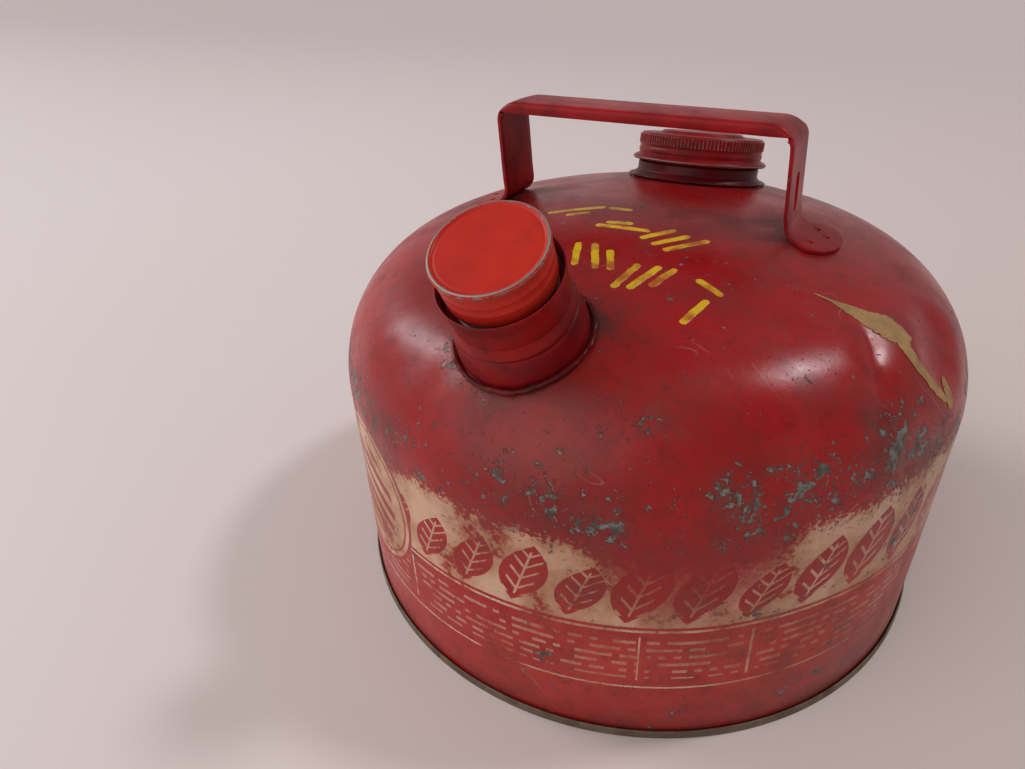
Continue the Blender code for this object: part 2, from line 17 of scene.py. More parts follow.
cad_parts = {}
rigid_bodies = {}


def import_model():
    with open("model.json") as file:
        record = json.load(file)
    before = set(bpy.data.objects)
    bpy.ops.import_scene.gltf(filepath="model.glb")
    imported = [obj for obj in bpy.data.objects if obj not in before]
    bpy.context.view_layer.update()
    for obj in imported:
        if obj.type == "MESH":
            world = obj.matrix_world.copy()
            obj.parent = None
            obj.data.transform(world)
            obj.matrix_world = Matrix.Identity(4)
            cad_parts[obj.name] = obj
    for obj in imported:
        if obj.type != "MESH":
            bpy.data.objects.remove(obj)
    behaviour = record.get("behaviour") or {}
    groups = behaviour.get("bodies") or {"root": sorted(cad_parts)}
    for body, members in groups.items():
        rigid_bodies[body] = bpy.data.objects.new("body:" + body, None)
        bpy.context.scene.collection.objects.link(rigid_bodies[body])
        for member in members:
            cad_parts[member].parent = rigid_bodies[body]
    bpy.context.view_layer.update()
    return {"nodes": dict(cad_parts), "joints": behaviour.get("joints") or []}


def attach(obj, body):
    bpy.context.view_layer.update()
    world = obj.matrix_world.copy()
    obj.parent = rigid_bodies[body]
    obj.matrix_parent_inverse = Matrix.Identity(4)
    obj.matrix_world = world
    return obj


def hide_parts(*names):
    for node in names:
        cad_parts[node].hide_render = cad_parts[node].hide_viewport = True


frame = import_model()
bpy.ops.object.select_all(action="DESELECT")
random.seed(7)

# %% [markdown]
# ## Camera
# A camera is placed with a matrix when its direction is known: the columns are its right, its up and
# the opposite of its view. The three vectors come from a look from the front right and from above.

# %% Camera
CAMERA_PLACE = Vector((0.1113, -0.3075, 0.2934))
CAMERA_RIGHT = Vector((0.86767, 0.49567, -0.03848))
CAMERA_UP = Vector((-0.24193, 0.48858, 0.83832))
camera_data = bpy.data.cameras.new("camera")
camera_data.lens = 26.13
camera_data.sensor_width = 36.0
camera_data.clip_start = 0.01
camera = bpy.data.objects.new("camera", camera_data)
bpy.context.scene.collection.objects.link(camera)
camera_axes = Matrix((CAMERA_RIGHT, CAMERA_UP, CAMERA_RIGHT.cross(CAMERA_UP))).transposed()
camera.matrix_world = Matrix.Translation(CAMERA_PLACE) @ camera_axes.to_4x4()
bpy.context.scene.camera = camera
print("camera lens", camera_data.lens)

# %% [markdown]
# ## Nodes in a few words
# A finish is a tree of nodes, and most of its nodes are sums. These short functions add one node each
# and give back its output, so that a finish further down reads like a formula.


# %% Node helpers
def new_finish(name):
    """A new material with its node tree and its Principled shader."""
    material = bpy.data.materials.new(name)
    material.use_nodes = True
    tree = material.node_tree
    return material, tree, tree.nodes["Principled BSDF"]


def feed(tree, socket, value):
    """Links an output into a socket, or sets the socket to a number or a colour."""
    if isinstance(value, bpy.types.NodeSocket):
        tree.links.new(value, socket)
    elif isinstance(value, tuple) and len(value) == 3 and socket.type == "RGBA":
        socket.default_value = (*value, 1.0)
    else:
        socket.default_value = value


def calc(tree, operation, *values):
    """One Math node."""
    node = tree.nodes.new("ShaderNodeMath")
    node.operation = operation
    for socket, value in zip(node.inputs, values):
        feed(tree, socket, value)
    return node.outputs[0]


def ease(tree, value, low, high):
    """0 below low, 1 above high and a smooth step between. With high under low it falls instead."""
    node = tree.nodes.new("ShaderNodeMapRange")
    node.interpolation_type = "SMOOTHSTEP"
    feed(tree, node.inputs["Value"], value)
    feed(tree, node.inputs["From Min"], low)
    feed(tree, node.inputs["From Max"], high)
    return node.outputs["Result"]


def within(tree, value, centre, half, soft):
    """1 where a value lies within half of a centre, with soft edges."""
    return ease(tree, calc(tree, "ABSOLUTE", calc(tree, "SUBTRACT", value, centre)), half + soft, half - soft)


def mottle(tree, where, scale, detail=4.0, roughness=0.5, distortion=0.0):
    """Cloudy noise from 0 to 1."""
    node = tree.nodes.new("ShaderNodeTexNoise")
    feed(tree, node.inputs["Vector"], where)
    node.inputs["Scale"].default_value = scale
    node.inputs["Detail"].default_value = detail
    node.inputs["Roughness"].default_value = roughness
    node.inputs["Distortion"].default_value = distortion
    return node.outputs["Fac"]


def lot(tree, number):
    """A random number from 0 to 1 for each whole number."""
    node = tree.nodes.new("ShaderNodeTexWhiteNoise")
    node.noise_dimensions = "1D"
    feed(tree, node.inputs["W"], number)
    return node.outputs["Value"]


def blend(tree, share, first, second):
    """Goes from the first colour to the second as the share goes from 0 to 1."""
    node = tree.nodes.new("ShaderNodeMix")
    node.data_type = "RGBA"
    feed(tree, node.inputs[0], share)
    feed(tree, node.inputs[6], first)
    feed(tree, node.inputs[7], second)
    return node.outputs[2]


def mixed(tree, share, first, second):
    """Goes from the first number to the second as the share goes from 0 to 1."""
    node = tree.nodes.new("ShaderNodeMix")
    feed(tree, node.inputs[0], share)
    feed(tree, node.inputs[2], first)
    feed(tree, node.inputs[3], second)
    return node.outputs[0]


def stored(tree, name):
    """The number that a piece's mesh stores under a name."""
    node = tree.nodes.new("ShaderNodeAttribute")
    node.attribute_name = name
    return node.outputs["Fac"]


def object_place(tree):
    """The place of each point in the frame, whole and as x, y and z."""
    place = tree.nodes.new("ShaderNodeTexCoord").outputs["Object"]
    parts = tree.nodes.new("ShaderNodeSeparateXYZ")
    tree.links.new(place, parts.inputs[0])
    return place, parts.outputs[0], parts.outputs[1], parts.outputs[2]


def emboss(tree, shader, height, distance, strength=1.0):
    """Lets a height bend the light on the surface."""
    node = tree.nodes.new("ShaderNodeBump")
    node.inputs["Strength"].default_value = strength
    node.inputs["Distance"].default_value = distance
    feed(tree, node.inputs["Height"], height)
    tree.links.new(node.outputs[0], shader.inputs["Normal"])


print("node helpers ready")

# %% [markdown]
# ## Floor and light
# The can stands on a light floor whose colour carries painted shade: it is lightest on the left and
# darker to the right and further back, where the light falls off. One soft light is high behind it on the
# right, a second is low on the left, and these two make the highlights on the dome. A weak wide one fills
# the front. They are suns with wide discs, because an area light would fall off across the floor. The room
# is bright low down and dark overhead, so the wall has a light sheen and the dome keeps its deep red.

# %% Floor
FLOOR_SIZE = 8.0
bpy.ops.mesh.primitive_plane_add(size=FLOOR_SIZE)
floor = bpy.context.object
floor.name = "floor"
material, tree, shader = new_finish("floor_with_painted_shade")
place, x, y, z = object_place(tree)
# Painted shade: the floor's colour darkens from left to right and towards the back, in place of the light falling off.
floor_tone_with_painted_falloff = blend(tree, ease(tree, x, -0.9, 0.9), (0.80, 0.74, 0.725), (0.63, 0.52, 0.48))
feed(tree, shader.inputs["Base Color"], blend(tree, ease(tree, y, 0.1, 1.6), floor_tone_with_painted_falloff, (0.60, 0.52, 0.52)))
shader.inputs["Roughness"].default_value = 0.6
floor.data.materials.append(material)
print("floor", FLOOR_SIZE, "m")


# %% Lights
def add_sun(name, direction, power, disc, colour):
    """A distant light from a direction, with a disc some degrees wide."""
    data = bpy.data.lights.new(name, "SUN")
    data.energy = power
    data.angle = math.radians(disc)
    data.color = colour
    light = bpy.data.objects.new(name, data)
    bpy.context.scene.collection.objects.link(light)
    light.rotation_euler = Vector(direction).to_track_quat("Z", "Y").to_euler()


add_sun("high_back", (0.43, 0.39, 0.81), 0.74, 8, (1.0, 0.97, 1.0))
add_sun("low_left", (-0.86, -0.05, 0.51), 1.05, 24, (0.97, 0.97, 1.0))
add_sun("front_fill", (-0.35, -0.85, 0.60), 1.15, 70, (1.0, 0.95, 0.93))
world = bpy.data.worlds.new("room")
world.use_nodes = True
tree = world.node_tree
facing = tree.nodes.new("ShaderNodeSeparateXYZ")
tree.links.new(tree.nodes.new("ShaderNodeTexCoord").outputs["Generated"], facing.inputs[0])
low_room = blend(tree, ease(tree, facing.outputs[0], -0.8, 0.8), (0.58, 0.54, 0.54), (0.40, 0.35, 0.34))
room = blend(tree, ease(tree, facing.outputs[2], 0.05, 0.65), low_room, (0.26, 0.24, 0.24))
feed(tree, tree.nodes["Background"].inputs["Color"], room)
bpy.context.scene.world = world
bpy.context.scene.view_settings.view_transform = "Standard"

# %% [markdown]
# ## Modelling helpers
# Most of a pressed steel can is round. A turned piece can be a cylinder that is scaled ring by ring,
# or an outline spun about an axis. The outline is the better way here: one point is dragged along it by
# extruding, and Spin sweeps the chain round. Pieces on a leaning neck are turned upright first and
# then laid on the neck's axis, which the frame's joints give.


# %% Selecting and placing
def select_only(piece):
    """Makes a piece the one that operators act on."""
    bpy.ops.object.select_all(action="DESELECT")
    piece.select_set(True)
    bpy.context.view_layer.objects.active = piece


def axis_of(joint_name):
    """The matrix that lays an upright piece on a joint's axis."""
    joint = next(j for j in frame["joints"] if j["name"] == joint_name)
    along = Vector(joint["axis"]).normalized()
    side = (Vector((1.0, 0.0, 0.0)) - along * along.x).normalized()
    matrix = Matrix((side, along.cross(side), along)).transposed().to_4x4()
    matrix.translation = Vector(joint["pos_m"])
    return matrix


def lay_on(piece, matrix):
    """Moves a piece by a matrix, and keeps its place in its mesh."""
    select_only(piece)
    piece.matrix_world = matrix
    bpy.ops.object.transform_apply(location=True, rotation=True, scale=True)


FILLER = axis_of("filler_cap_turn")
SPOUT = axis_of("clamp_ring_turn")
print("filler leans", round(math.degrees(FILLER.to_3x3().col[2].angle(Vector((0, 0, 1)))), 1), "degrees")
print("spout leans", round(math.degrees(SPOUT.to_3x3().col[2].angle(Vector((0, 0, 1)))), 1), "degrees")


# %% Turning
def eased(outline, radius):
    """Rounds each corner of an outline with a short curve."""
    points = outline[:1]
    for before, corner, after in zip(outline, outline[1:], outline[2:]):
        middle = Vector(corner)
        back, ahead = Vector(before) - middle, Vector(after) - middle
        start = middle + back.normalized() * min(radius, back.length * 0.45)
        end = middle + ahead.normalized() * min(radius, ahead.length * 0.45)
        for share in (0.0, 0.33, 0.67, 1.0):
            point = start * (1 - share) ** 2 + middle * 2 * share * (1 - share) + end * share**2
            points.append((point.x, point.y))
    return points + outline[-1:]


def turned(name, outline, steps):
    """Drags one point along an outline of (radius, height), then spins the chain about the vertical."""
    bpy.ops.object.select_all(action="DESELECT")
    bpy.ops.mesh.primitive_plane_add(size=0.001)
    piece = bpy.context.object
    piece.name = piece.data.name = name
    bpy.ops.object.mode_set(mode="EDIT")
    bpy.ops.mesh.merge(type="CENTER")
    bpy.ops.transform.translate(value=(outline[0][0], 0.0, outline[0][1]))
    for (r0, z0), (r1, z1) in zip(outline, outline[1:]):
        bpy.ops.mesh.extrude_region_move(TRANSFORM_OT_translate={"value": (r1 - r0, 0.0, z1 - z0)})
    bpy.ops.mesh.select_all(action="SELECT")
    bpy.ops.mesh.spin(steps=steps, angle=math.tau, center=(0, 0, 0), axis=(0, 0, 1))
    bpy.ops.mesh.select_all(action="SELECT")
    bpy.ops.mesh.remove_doubles(threshold=0.00001)
    bpy.ops.mesh.normals_make_consistent(inside=False)
    bpy.ops.object.mode_set(mode="OBJECT")
    return piece


def arc(centre_r, centre_z, radius, start, end, count):
    """Points on an arc of an outline, with angles from the vertical."""
    angles = [start + (end - start) * i / count for i in range(count + 1)]
    return [(centre_r + radius * math.sin(a), centre_z + radius * math.cos(a)) for a in angles]


print("turning helpers ready")


# %% Cutting and finishing
def use_modifier(piece, kind, **settings):
    """Adds a modifier and applies it."""
    select_only(piece)
    modifier = piece.modifiers.new(kind.title(), kind)
    for name, value in settings.items():
        setattr(modifier, name, value)
    bpy.ops.object.modifier_apply(modifier=modifier.name)


def cut_away(piece, tool):
    """Takes a tool's shape out of a piece, and removes the tool."""
    use_modifier(piece, "BOOLEAN", operation="DIFFERENCE", object=tool)
    bpy.data.objects.remove(tool)


def mark_edges(piece, sharpest=900.0):
    """Stores at each vertex how sharply the surface turns outward there, where paint wears first."""
    mesh = piece.data
    places = np.empty(len(mesh.vertices) * 3, np.float32)
    normals = np.empty(len(mesh.vertices) * 3, np.float32)
    pairs = np.empty(len(mesh.edges) * 2, np.int32)
    mesh.vertices.foreach_get("co", places)
    mesh.vertices.foreach_get("normal", normals)
    mesh.edges.foreach_get("vertices", pairs)
    places, normals, pairs = places.reshape(-1, 3), normals.reshape(-1, 3), pairs.reshape(-1, 2)
    bend = np.zeros(len(places))
    count = np.zeros(len(places))
    for first, second in (pairs.T, pairs.T[::-1]):
        step = places[second] - places[first]
        length = np.maximum((step**2).sum(1), 1e-10)
        np.add.at(bend, first, -2 * (step * normals[first]).sum(1) / length)
        np.add.at(count, first, 1)
    edge = np.clip(bend / np.maximum(count, 1) / sharpest, 0, 1)
    layer = mesh.attributes.new("edge", "FLOAT", "POINT")
    layer.data.foreach_set("value", edge.astype(np.float32))


def hand_over(piece, finish, body, slot, *nodes):
    """Gives a finished piece its finish, its body and the plain pieces that it stands for. The slot is not used."""
    select_only(piece)
    bpy.ops.object.shade_smooth_by_angle(angle=math.radians(38))
    mark_edges(piece)
    piece.data.materials.clear()
    piece.data.materials.append(finish)
    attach(piece, body)
    if nodes:
        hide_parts(*nodes)
    print(piece.name, len(piece.data.polygons), "faces, rides on", body)


# %% [markdown]
# ## Finish: enamel on the small parts
# The handle, the caps and the necks have the same red enamel, in slightly different states. It could
# be one material for all, but each part has its own colour and its own wear, so a function makes
# them; the filler neck's darker red is painted shade under its cap, and the solder's is partly so. Where the mesh turns
# sharply outward the enamel has gone and the zinc shows, and noise breaks up that line. Grime, partly painted shade,
# darkens broad patches, most on the parts that sit in shade, and a few specks show the metal.

# %% Enamel
PAINT_SHEEN = 0.38
SMALL_PART_SHEEN = 0.18
ZINC = (0.36, 0.35, 0.32)
GRIME_AND_SHADE_TONE = (0.035, 0.012, 0.008)


def enamel(name, colour, deep, worn_from=1.1, grime_and_shade=0.35, speck=0.735, gloss=0.34):
    """Old enamel: two reds in clouds, grime that stands partly for painted shade, and bare zinc along the edges and in
    specks.
    """
    material, tree, shader = new_finish(name)
    place, x, y, z = object_place(tree)
    cloud = mottle(tree, place, 38.0, 5.0, 0.6)
    fine = mottle(tree, place, 420.0, 5.0, 0.65)
    broad = mottle(tree, place, 90.0, 6.0, 0.68, 0.4)
    red = blend(tree, ease(tree, cloud, 0.35, 0.68), colour, deep)
    dirt_and_shade = calc(tree, "MULTIPLY", ease(tree, broad, 0.50, 0.72), grime_and_shade)
    red = blend(tree, dirt_and_shade, red, GRIME_AND_SHADE_TONE)
    wear = calc(tree, "ADD", stored(tree, "edge"), calc(tree, "MULTIPLY", calc(tree, "SUBTRACT", fine, 0.5), 0.9))
    bare = calc(tree, "MAXIMUM", ease(tree, wear, worn_from, worn_from + 0.14), ease(tree, calc(tree, "ADD", broad, stored(tree, "silver")), speck, speck + 0.015))
    steel = blend(tree, fine, ZINC, (0.20, 0.17, 0.14))
    feed(tree, shader.inputs["Base Color"], blend(tree, bare, red, steel))
    feed(tree, shader.inputs["Metallic"], calc(tree, "MULTIPLY", bare, 0.65))
    rough = calc(tree, "ADD", gloss, calc(tree, "MULTIPLY", calc(tree, "SUBTRACT", cloud, 0.4), 0.35))
    feed(tree, shader.inputs["Roughness"], mixed(tree, calc(tree, "MAXIMUM", bare, dirt_and_shade), rough, 0.5))
    height = calc(tree, "SUBTRACT", calc(tree, "MULTIPLY", fine, 0.12), calc(tree, "MULTIPLY", bare, 0.35))
    emboss(tree, shader, height, 0.0003)
    shader.inputs["Specular IOR Level"].default_value = SMALL_PART_SHEEN
    return material


handle_enamel = enamel("handle_enamel", (0.33, 0.006, 0.009), (0.20, 0.003, 0.006), grime_and_shade=0.35)
cap_enamel = enamel("spout_cap_enamel", (0.52, 0.026, 0.014), (0.42, 0.016, 0.010), worn_from=0.46, grime_and_shade=0.15)
ring_enamel = enamel("spout_ring_enamel", (0.29, 0.008, 0.008), (0.14, 0.003, 0.004), grime_and_shade=0.55)
neck_enamel = enamel("neck_enamel", (0.24, 0.005, 0.007), (0.11, 0.002, 0.003), grime_and_shade=0.5)
# A darker copy of the neck enamel: painted shade, for the filler neck that sits under its cap's hem.
shaded_filler_neck_enamel = enamel("filler_neck_shaded_enamel", (0.13, 0.003, 0.004), (0.06, 0.001, 0.002), grime_and_shade=0.7)
lid_enamel = enamel("filler_cap_enamel", (0.29, 0.010, 0.011), (0.15, 0.004, 0.005), worn_from=0.72, grime_and_shade=0.5)
print("enamels:", [m.name for m in bpy.data.materials if m.name.endswith("enamel")])

# %% [markdown]
# ## Finish: zinc, solder and rubber
# The stored spout is zinc plated, so its grey has soft crystal patches and fine scuffs. Solder is
# brighter where it still shows under its paint. The washers are matt black rubber with a bloom.


# %% Bare metals
def bare_metal(name, light, dark, scale, rough, metallic):
    """Dull metal in patches, with fine scuffs."""
    material, tree, shader = new_finish(name)
    place, x, y, z = object_place(tree)
    crystals = tree.nodes.new("ShaderNodeTexVoronoi")
    tree.links.new(place, crystals.inputs["Vector"])
    crystals.inputs["Scale"].default_value = scale
    patch = ease(tree, mottle(tree, crystals.outputs["Color"], 2.0), 0.3, 0.7)
    stain = mottle(tree, place, scale / 3, 6.0, 0.65)
    feed(tree, shader.inputs["Base Color"], blend(tree, calc(tree, "MULTIPLY", calc(tree, "ADD", patch, stain), 0.5), light, dark))
    feed(tree, shader.inputs["Roughness"], mixed(tree, stain, rough - 0.12, rough + 0.18))
    shader.inputs["Metallic"].default_value = metallic
    emboss(tree, shader, mottle(tree, place, 1500.0, 3.0), 0.00008)
    return material


galvanised = bare_metal("galvanised", (0.52, 0.53, 0.54), (0.34, 0.35, 0.36), 220.0, 0.42, 0.9)
seam_steel = bare_metal("seam_steel", (0.22, 0.17, 0.115), (0.055, 0.034, 0.022), 150.0, 0.52, 0.5)
rubber, tree, shader = new_finish("rubber")
place, x, y, z = object_place(tree)
feed(tree, shader.inputs["Base Color"], blend(tree, mottle(tree, place, 160.0), (0.018, 0.018, 0.018), (0.05, 0.047, 0.043)))
shader.inputs["Roughness"].default_value = 0.72
emboss(tree, shader, mottle(tree, place, 900.0), 0.00015)
print("metals and rubber ready")

# %% [markdown]
# ## Body shape
# The real body is drawn from one sheet: a straight wall, a tight knuckle and a shallow crown. A sphere
# that is squashed would miss the knuckle, so the outline is built from two arcs and a line and is spun
# finely, because the dents need vertices of their own.

# %% Body measures
SHEET = 0.0009
BODY_RADIUS = 0.142
WALL_TOP_Z = 0.1096
WALL_BOTTOM_Z = 0.0025
KNUCKLE_RADIUS = 0.0532
CROWN_RADIUS = 0.3466
KNUCKLE_CENTRE_R = BODY_RADIUS - KNUCKLE_RADIUS
CROWN_CENTRE_Z = WALL_TOP_Z - math.sqrt((CROWN_RADIUS - KNUCKLE_RADIUS) ** 2 - KNUCKLE_CENTRE_R**2)
CROWN_ANGLE = math.asin(KNUCKLE_CENTRE_R / (CROWN_RADIUS - KNUCKLE_RADIUS))


def dome_z(radius, outset=0.0):
    """Height of the dome at a distance from its axis, or of a face that lies outset from it."""
    if radius < (CROWN_RADIUS + outset) * math.sin(CROWN_ANGLE):
        return CROWN_CENTRE_Z + math.sqrt((CROWN_RADIUS + outset) ** 2 - radius**2)
    reach = min(radius - KNUCKLE_CENTRE_R, KNUCKLE_RADIUS + outset)
    return WALL_TOP_Z + math.sqrt((KNUCKLE_RADIUS + outset) ** 2 - reach**2)


def on_body(azimuth, height):
    """The point of the body's face at an azimuth in degrees from the front, and a height."""
    if height <= WALL_TOP_Z:
        radius = BODY_RADIUS
    elif height < WALL_TOP_Z + KNUCKLE_RADIUS * math.cos(CROWN_ANGLE):
        radius = KNUCKLE_CENTRE_R + math.sqrt(KNUCKLE_RADIUS**2 - (height - WALL_TOP_Z) ** 2)
    else:
        radius = math.sqrt(CROWN_RADIUS**2 - (height - CROWN_CENTRE_Z) ** 2)
    angle = math.radians(azimuth)
    return Vector((radius * math.sin(angle), -radius * math.cos(angle), height))


def above(x, y):
    """The point of the dome's face over a place in plan."""
    return Vector((x, y, dome_z(math.hypot(x, y))))


print("dome top at", round(dome_z(0.0), 4), "m")

# %% Body turned
BODY_STEPS = 320
crown = arc(0.0, CROWN_CENTRE_Z, CROWN_RADIUS, 0.0, CROWN_ANGLE, 30)
knuckle = arc(KNUCKLE_CENTRE_R, WALL_TOP_Z, KNUCKLE_RADIUS, CROWN_ANGLE, math.pi / 2, 24)
wall_rows = 30
wall = [
    (BODY_RADIUS, WALL_TOP_Z + (WALL_BOTTOM_Z - WALL_TOP_Z) * i / wall_rows) for i in range(1, wall_rows + 1)
]
body = turned("body_enamelled", crown + knuckle[1:] + wall, BODY_STEPS)
print("body:", len(body.data.vertices), "vertices")

# %% [markdown]
# ## Dents
# Thin sheet dents softly. Proportional editing makes such dents as a hand would: the vertices along a
# short line are pushed in, and their neighbours follow less and less. The right shoulder has one long
# crease and a hollow beside it, the left has shallower knocks, and the wall is a little out of round.


# %% Dents pressed in
def press_in(piece, start, end, depth, reach, falloff="SMOOTH"):
    """Pushes in the vertices near a line, and the surface around them."""
    select_only(piece)
    bpy.ops.object.mode_set(mode="EDIT")
    bpy.ops.mesh.select_all(action="DESELECT")
    bpy.ops.object.mode_set(mode="OBJECT")
    along = end - start
    inward = Vector()
    for vertex in piece.data.vertices:
        share = max(0.0, min(1.0, (vertex.co - start).dot(along) / max(along.length_squared, 1e-9)))
        if (vertex.co - start - along * share).length < 0.0024:
            vertex.select = True
            inward -= vertex.normal
    bpy.ops.object.mode_set(mode="EDIT")
    bpy.ops.transform.translate(
        value=inward.normalized() * depth,
        use_proportional_edit=True,
        proportional_edit_falloff=falloff,
        proportional_size=reach,
    )
    bpy.ops.object.mode_set(mode="OBJECT")


DENTS = [
    (above(0.103, -0.043), above(0.114, -0.068), 0.0020, 0.012, "SHARP"),
    (above(0.124, -0.012), above(0.128, -0.024), 0.0030, 0.017, "SMOOTH"),
    (on_body(66, 0.120), on_body(70, 0.112), 0.0016, 0.020, "SMOOTH"),
    (above(-0.046, -0.120), above(-0.036, -0.124), 0.0012, 0.016, "SMOOTH"),
    (above(-0.064, -0.113), above(-0.060, -0.119), 0.0008, 0.014, "SMOOTH"),
    (on_body(8, 0.128), on_body(12, 0.126), 0.0008, 0.022, "SMOOTH"),
    (on_body(-4, 0.088), on_body(2, 0.086), 0.0008, 0.030, "SMOOTH"),
    (on_body(44, 0.060), on_body(50, 0.062), 0.0009, 0.034, "SMOOTH"),
    (on_body(128, 0.120), on_body(136, 0.116), 0.0026, 0.024, "SMOOTH"),
    (on_body(205, 0.060), on_body(212, 0.070), 0.0018, 0.034, "SMOOTH"),
    (on_body(268, 0.125), on_body(276, 0.120), 0.0022, 0.022, "SMOOTH"),
    (above(0.040, 0.112), above(0.052, 0.108), 0.0014, 0.018, "SMOOTH"),
]
for start, end, depth, reach, falloff in DENTS:
    press_in(body, start, end, depth, reach, falloff)
print("dents:", len(DENTS))

# %% [markdown]
# ## Sheet thickness and holes
# Solidify gives the dented face its sheet thickness on the inside, and a plain cylinder on each
# neck's axis cuts the hole below it.

# %% Body sheet
FILLER_HOLE_RADIUS = 0.0280
SPOUT_HOLE_RADIUS = 0.0228
use_modifier(body, "SOLIDIFY", thickness=SHEET, offset=-1.0)
for matrix, radius in ((FILLER, FILLER_HOLE_RADIUS), (SPOUT, SPOUT_HOLE_RADIUS)):
    bpy.ops.mesh.primitive_cylinder_add(vertices=96, radius=radius, depth=0.04)
    plug = bpy.context.object
    lay_on(plug, matrix)
    cut_away(body, plug)
print("body with its sheet:", len(body.data.polygons), "faces")

# %% [markdown]
# ## Where the body is worn
# Chips on this can lie in bands where it was knocked, so pure noise would look wrong. Soft patches,
# each with a place, a reach and a strength, are stored on the mesh, and the finish lets its noise
# break through only there. The same is done for grime, which also carries painted shade in the corners, and for sun
# fading. The front's patches are listed one by one, and the sides and the back get more of the same by seeded chance.

# %% Wear patches
CHIP_PATCHES = [
    (-37, 0.122, 9, 0.9), (-30, 0.117, 8, 0.8), (-22, 0.119, 5, 0.8), (-17, 0.124, 4, 0.7), (-14, 0.112, 4, 0.5),
    (1, 0.131, 4, 0.9), (1.5, 0.119, 4, 0.9), (8, 0.125, 5, 1.0), (9.5, 0.117, 6, 1.2), (14, 0.114, 5, 1.2),
    (17.5, 0.115, 6, 1.25), (4, 0.106, 5, 0.7), (22.5, 0.149, 4.5, 1.1), (27, 0.147, 4, 0.6),
    (33, 0.129, 7, 0.9), (36, 0.122, 7, 1.1), (40, 0.134, 5, 0.8), (43.5, 0.128, 9, 1.15), (47, 0.132, 7, 1.0),
    (48, 0.122, 7, 1.1), (53, 0.127, 7, 0.9), (37, 0.112, 4, 0.9), (34, 0.107, 4, 0.8), (42, 0.113, 4, 0.7),
    (62, 0.132, 13, 1.25), (66, 0.125, 11, 1.3), (72, 0.118, 9, 1.1), (58, 0.117, 5, 0.8),
    (33, 0.078, 6, 0.9), (40, 0.072, 6, 1.0), (44, 0.069, 5, 1.0), (47, 0.074, 4, 0.8), (26, 0.071, 4, 0.8),
    (12, 0.092, 4, 0.7), (11, 0.080, 3, 0.8), (66, 0.085, 9, 1.0), (70, 0.096, 8, 1.0), (50, 0.088, 4, 0.8),
    (5, 0.057, 4, 0.9), (8, 0.040, 5, 1.0), (12, 0.037, 5, 0.8), (55, 0.055, 7, 0.9), (58, 0.047, 7, 0.9),
    (31, 0.053, 4, 0.8), (47, 0.039, 4, 0.9), (57, 0.034, 6, 0.7), (29, 0.017, 3, 1.0), (29, 0.010, 4, 1.0),
    (35, 0.020, 3, 0.7), (50, 0.018, 6, 0.9), (56, 0.022, 6, 0.9), (20, 0.012, 4, 0.7), (62, 0.020, 6, 0.9),
    (80, 0.113, 10, 1.1), (86, 0.100, 9, 0.9), (89, 0.121, 10, 1.1), (48.5, 0.155, 3, 0.9), (52, 0.158, 3, 0.8),
]
for azimuth in range(98, 322, 6):
    CHIP_PATCHES.append((azimuth, random.gauss(0.118, 0.009), random.uniform(4, 11), random.uniform(0.5, 1.15)))
    CHIP_PATCHES.append((azimuth, random.uniform(0.010, 0.105), random.uniform(3, 8), random.uniform(0.4, 1.0)))
print("chip patches:", len(CHIP_PATCHES))

# %% Grime, painted shade and fading patches
# The ring low on the wall, just above the base seam, is painted shade in that corner as well as grime.
GRIME_AND_SHADE_PATCHES = [(azimuth, 0.006, 5, 0.55) for azimuth in range(0, 360, 2)]
GRIME_AND_SHADE_PATCHES += [(5, 0.158, 20, 0.5), (12, 0.163, 16, 0.5), (18, 0.147, 22, 0.35), (35, 0.126, 20, 0.35)]
GRIME_AND_SHADE_PATCHES += [(62, 0.128, 20, 0.6), (74, 0.118, 16, 0.6), (-25, 0.120, 12, 0.35), (10, 0.116, 12, 0.3)]
GRIME_AND_SHADE_PATCHES += [(azimuth, random.uniform(0.10, 0.13), random.uniform(12, 24), 0.4) for azimuth in range(96, 320, 14)]
FADE_PATCHES = [(azimuth, random.uniform(0.02, 0.06), random.uniform(22, 40), 0.8) for azimuth in range(-64, 296, 10)]
FADE_PATCHES += [(-52, 0.135, 30, 0.9), (-62, 0.150, 26, 0.8), (-45, 0.100, 26, 0.7), (24, 0.155, 18, 0.35)]
FADE_PATCHES += [(20, 0.045, 30, 1.0), (40, 0.045, 30, 1.0), (58, 0.060, 30, 1.0), (10, 0.030, 24, 0.9)]
FADE_PATCHES += [(44, 0.140, 12, 0.5), (60, 0.150, 16, 0.35), (8, 0.138, 14, 0.4)]
# Most of these spots sit round the spout and filler necks and the handle's feet, where they darken the corners: painted
# shade there, along with grime.
GRIME_AND_SHADE_SPOTS = [(SPOUT.translation + Vector((0.020, 0.012, 0.005)), 16, 0.9), (above(0.066, 0.004), 15, 0.75)]
GRIME_AND_SHADE_SPOTS += [(above(0.058, 0.022), 20, 0.5), (above(-0.080, 0.010), 20, 0.8), (FILLER.translation, 36, 0.55)]
GRIME_AND_SHADE_SPOTS += [(SPOUT.translation + Vector((0.0, -0.028, -0.012)), 12, 0.6), (SPOUT.translation, 30, 0.5)]
GRIME_AND_SHADE_SPOTS += [(above(-0.022, -0.075), 16, 0.5), (above(0.036, 0.010), 18, 0.25), (above(0.100, 0.012), 20, 0.25)]


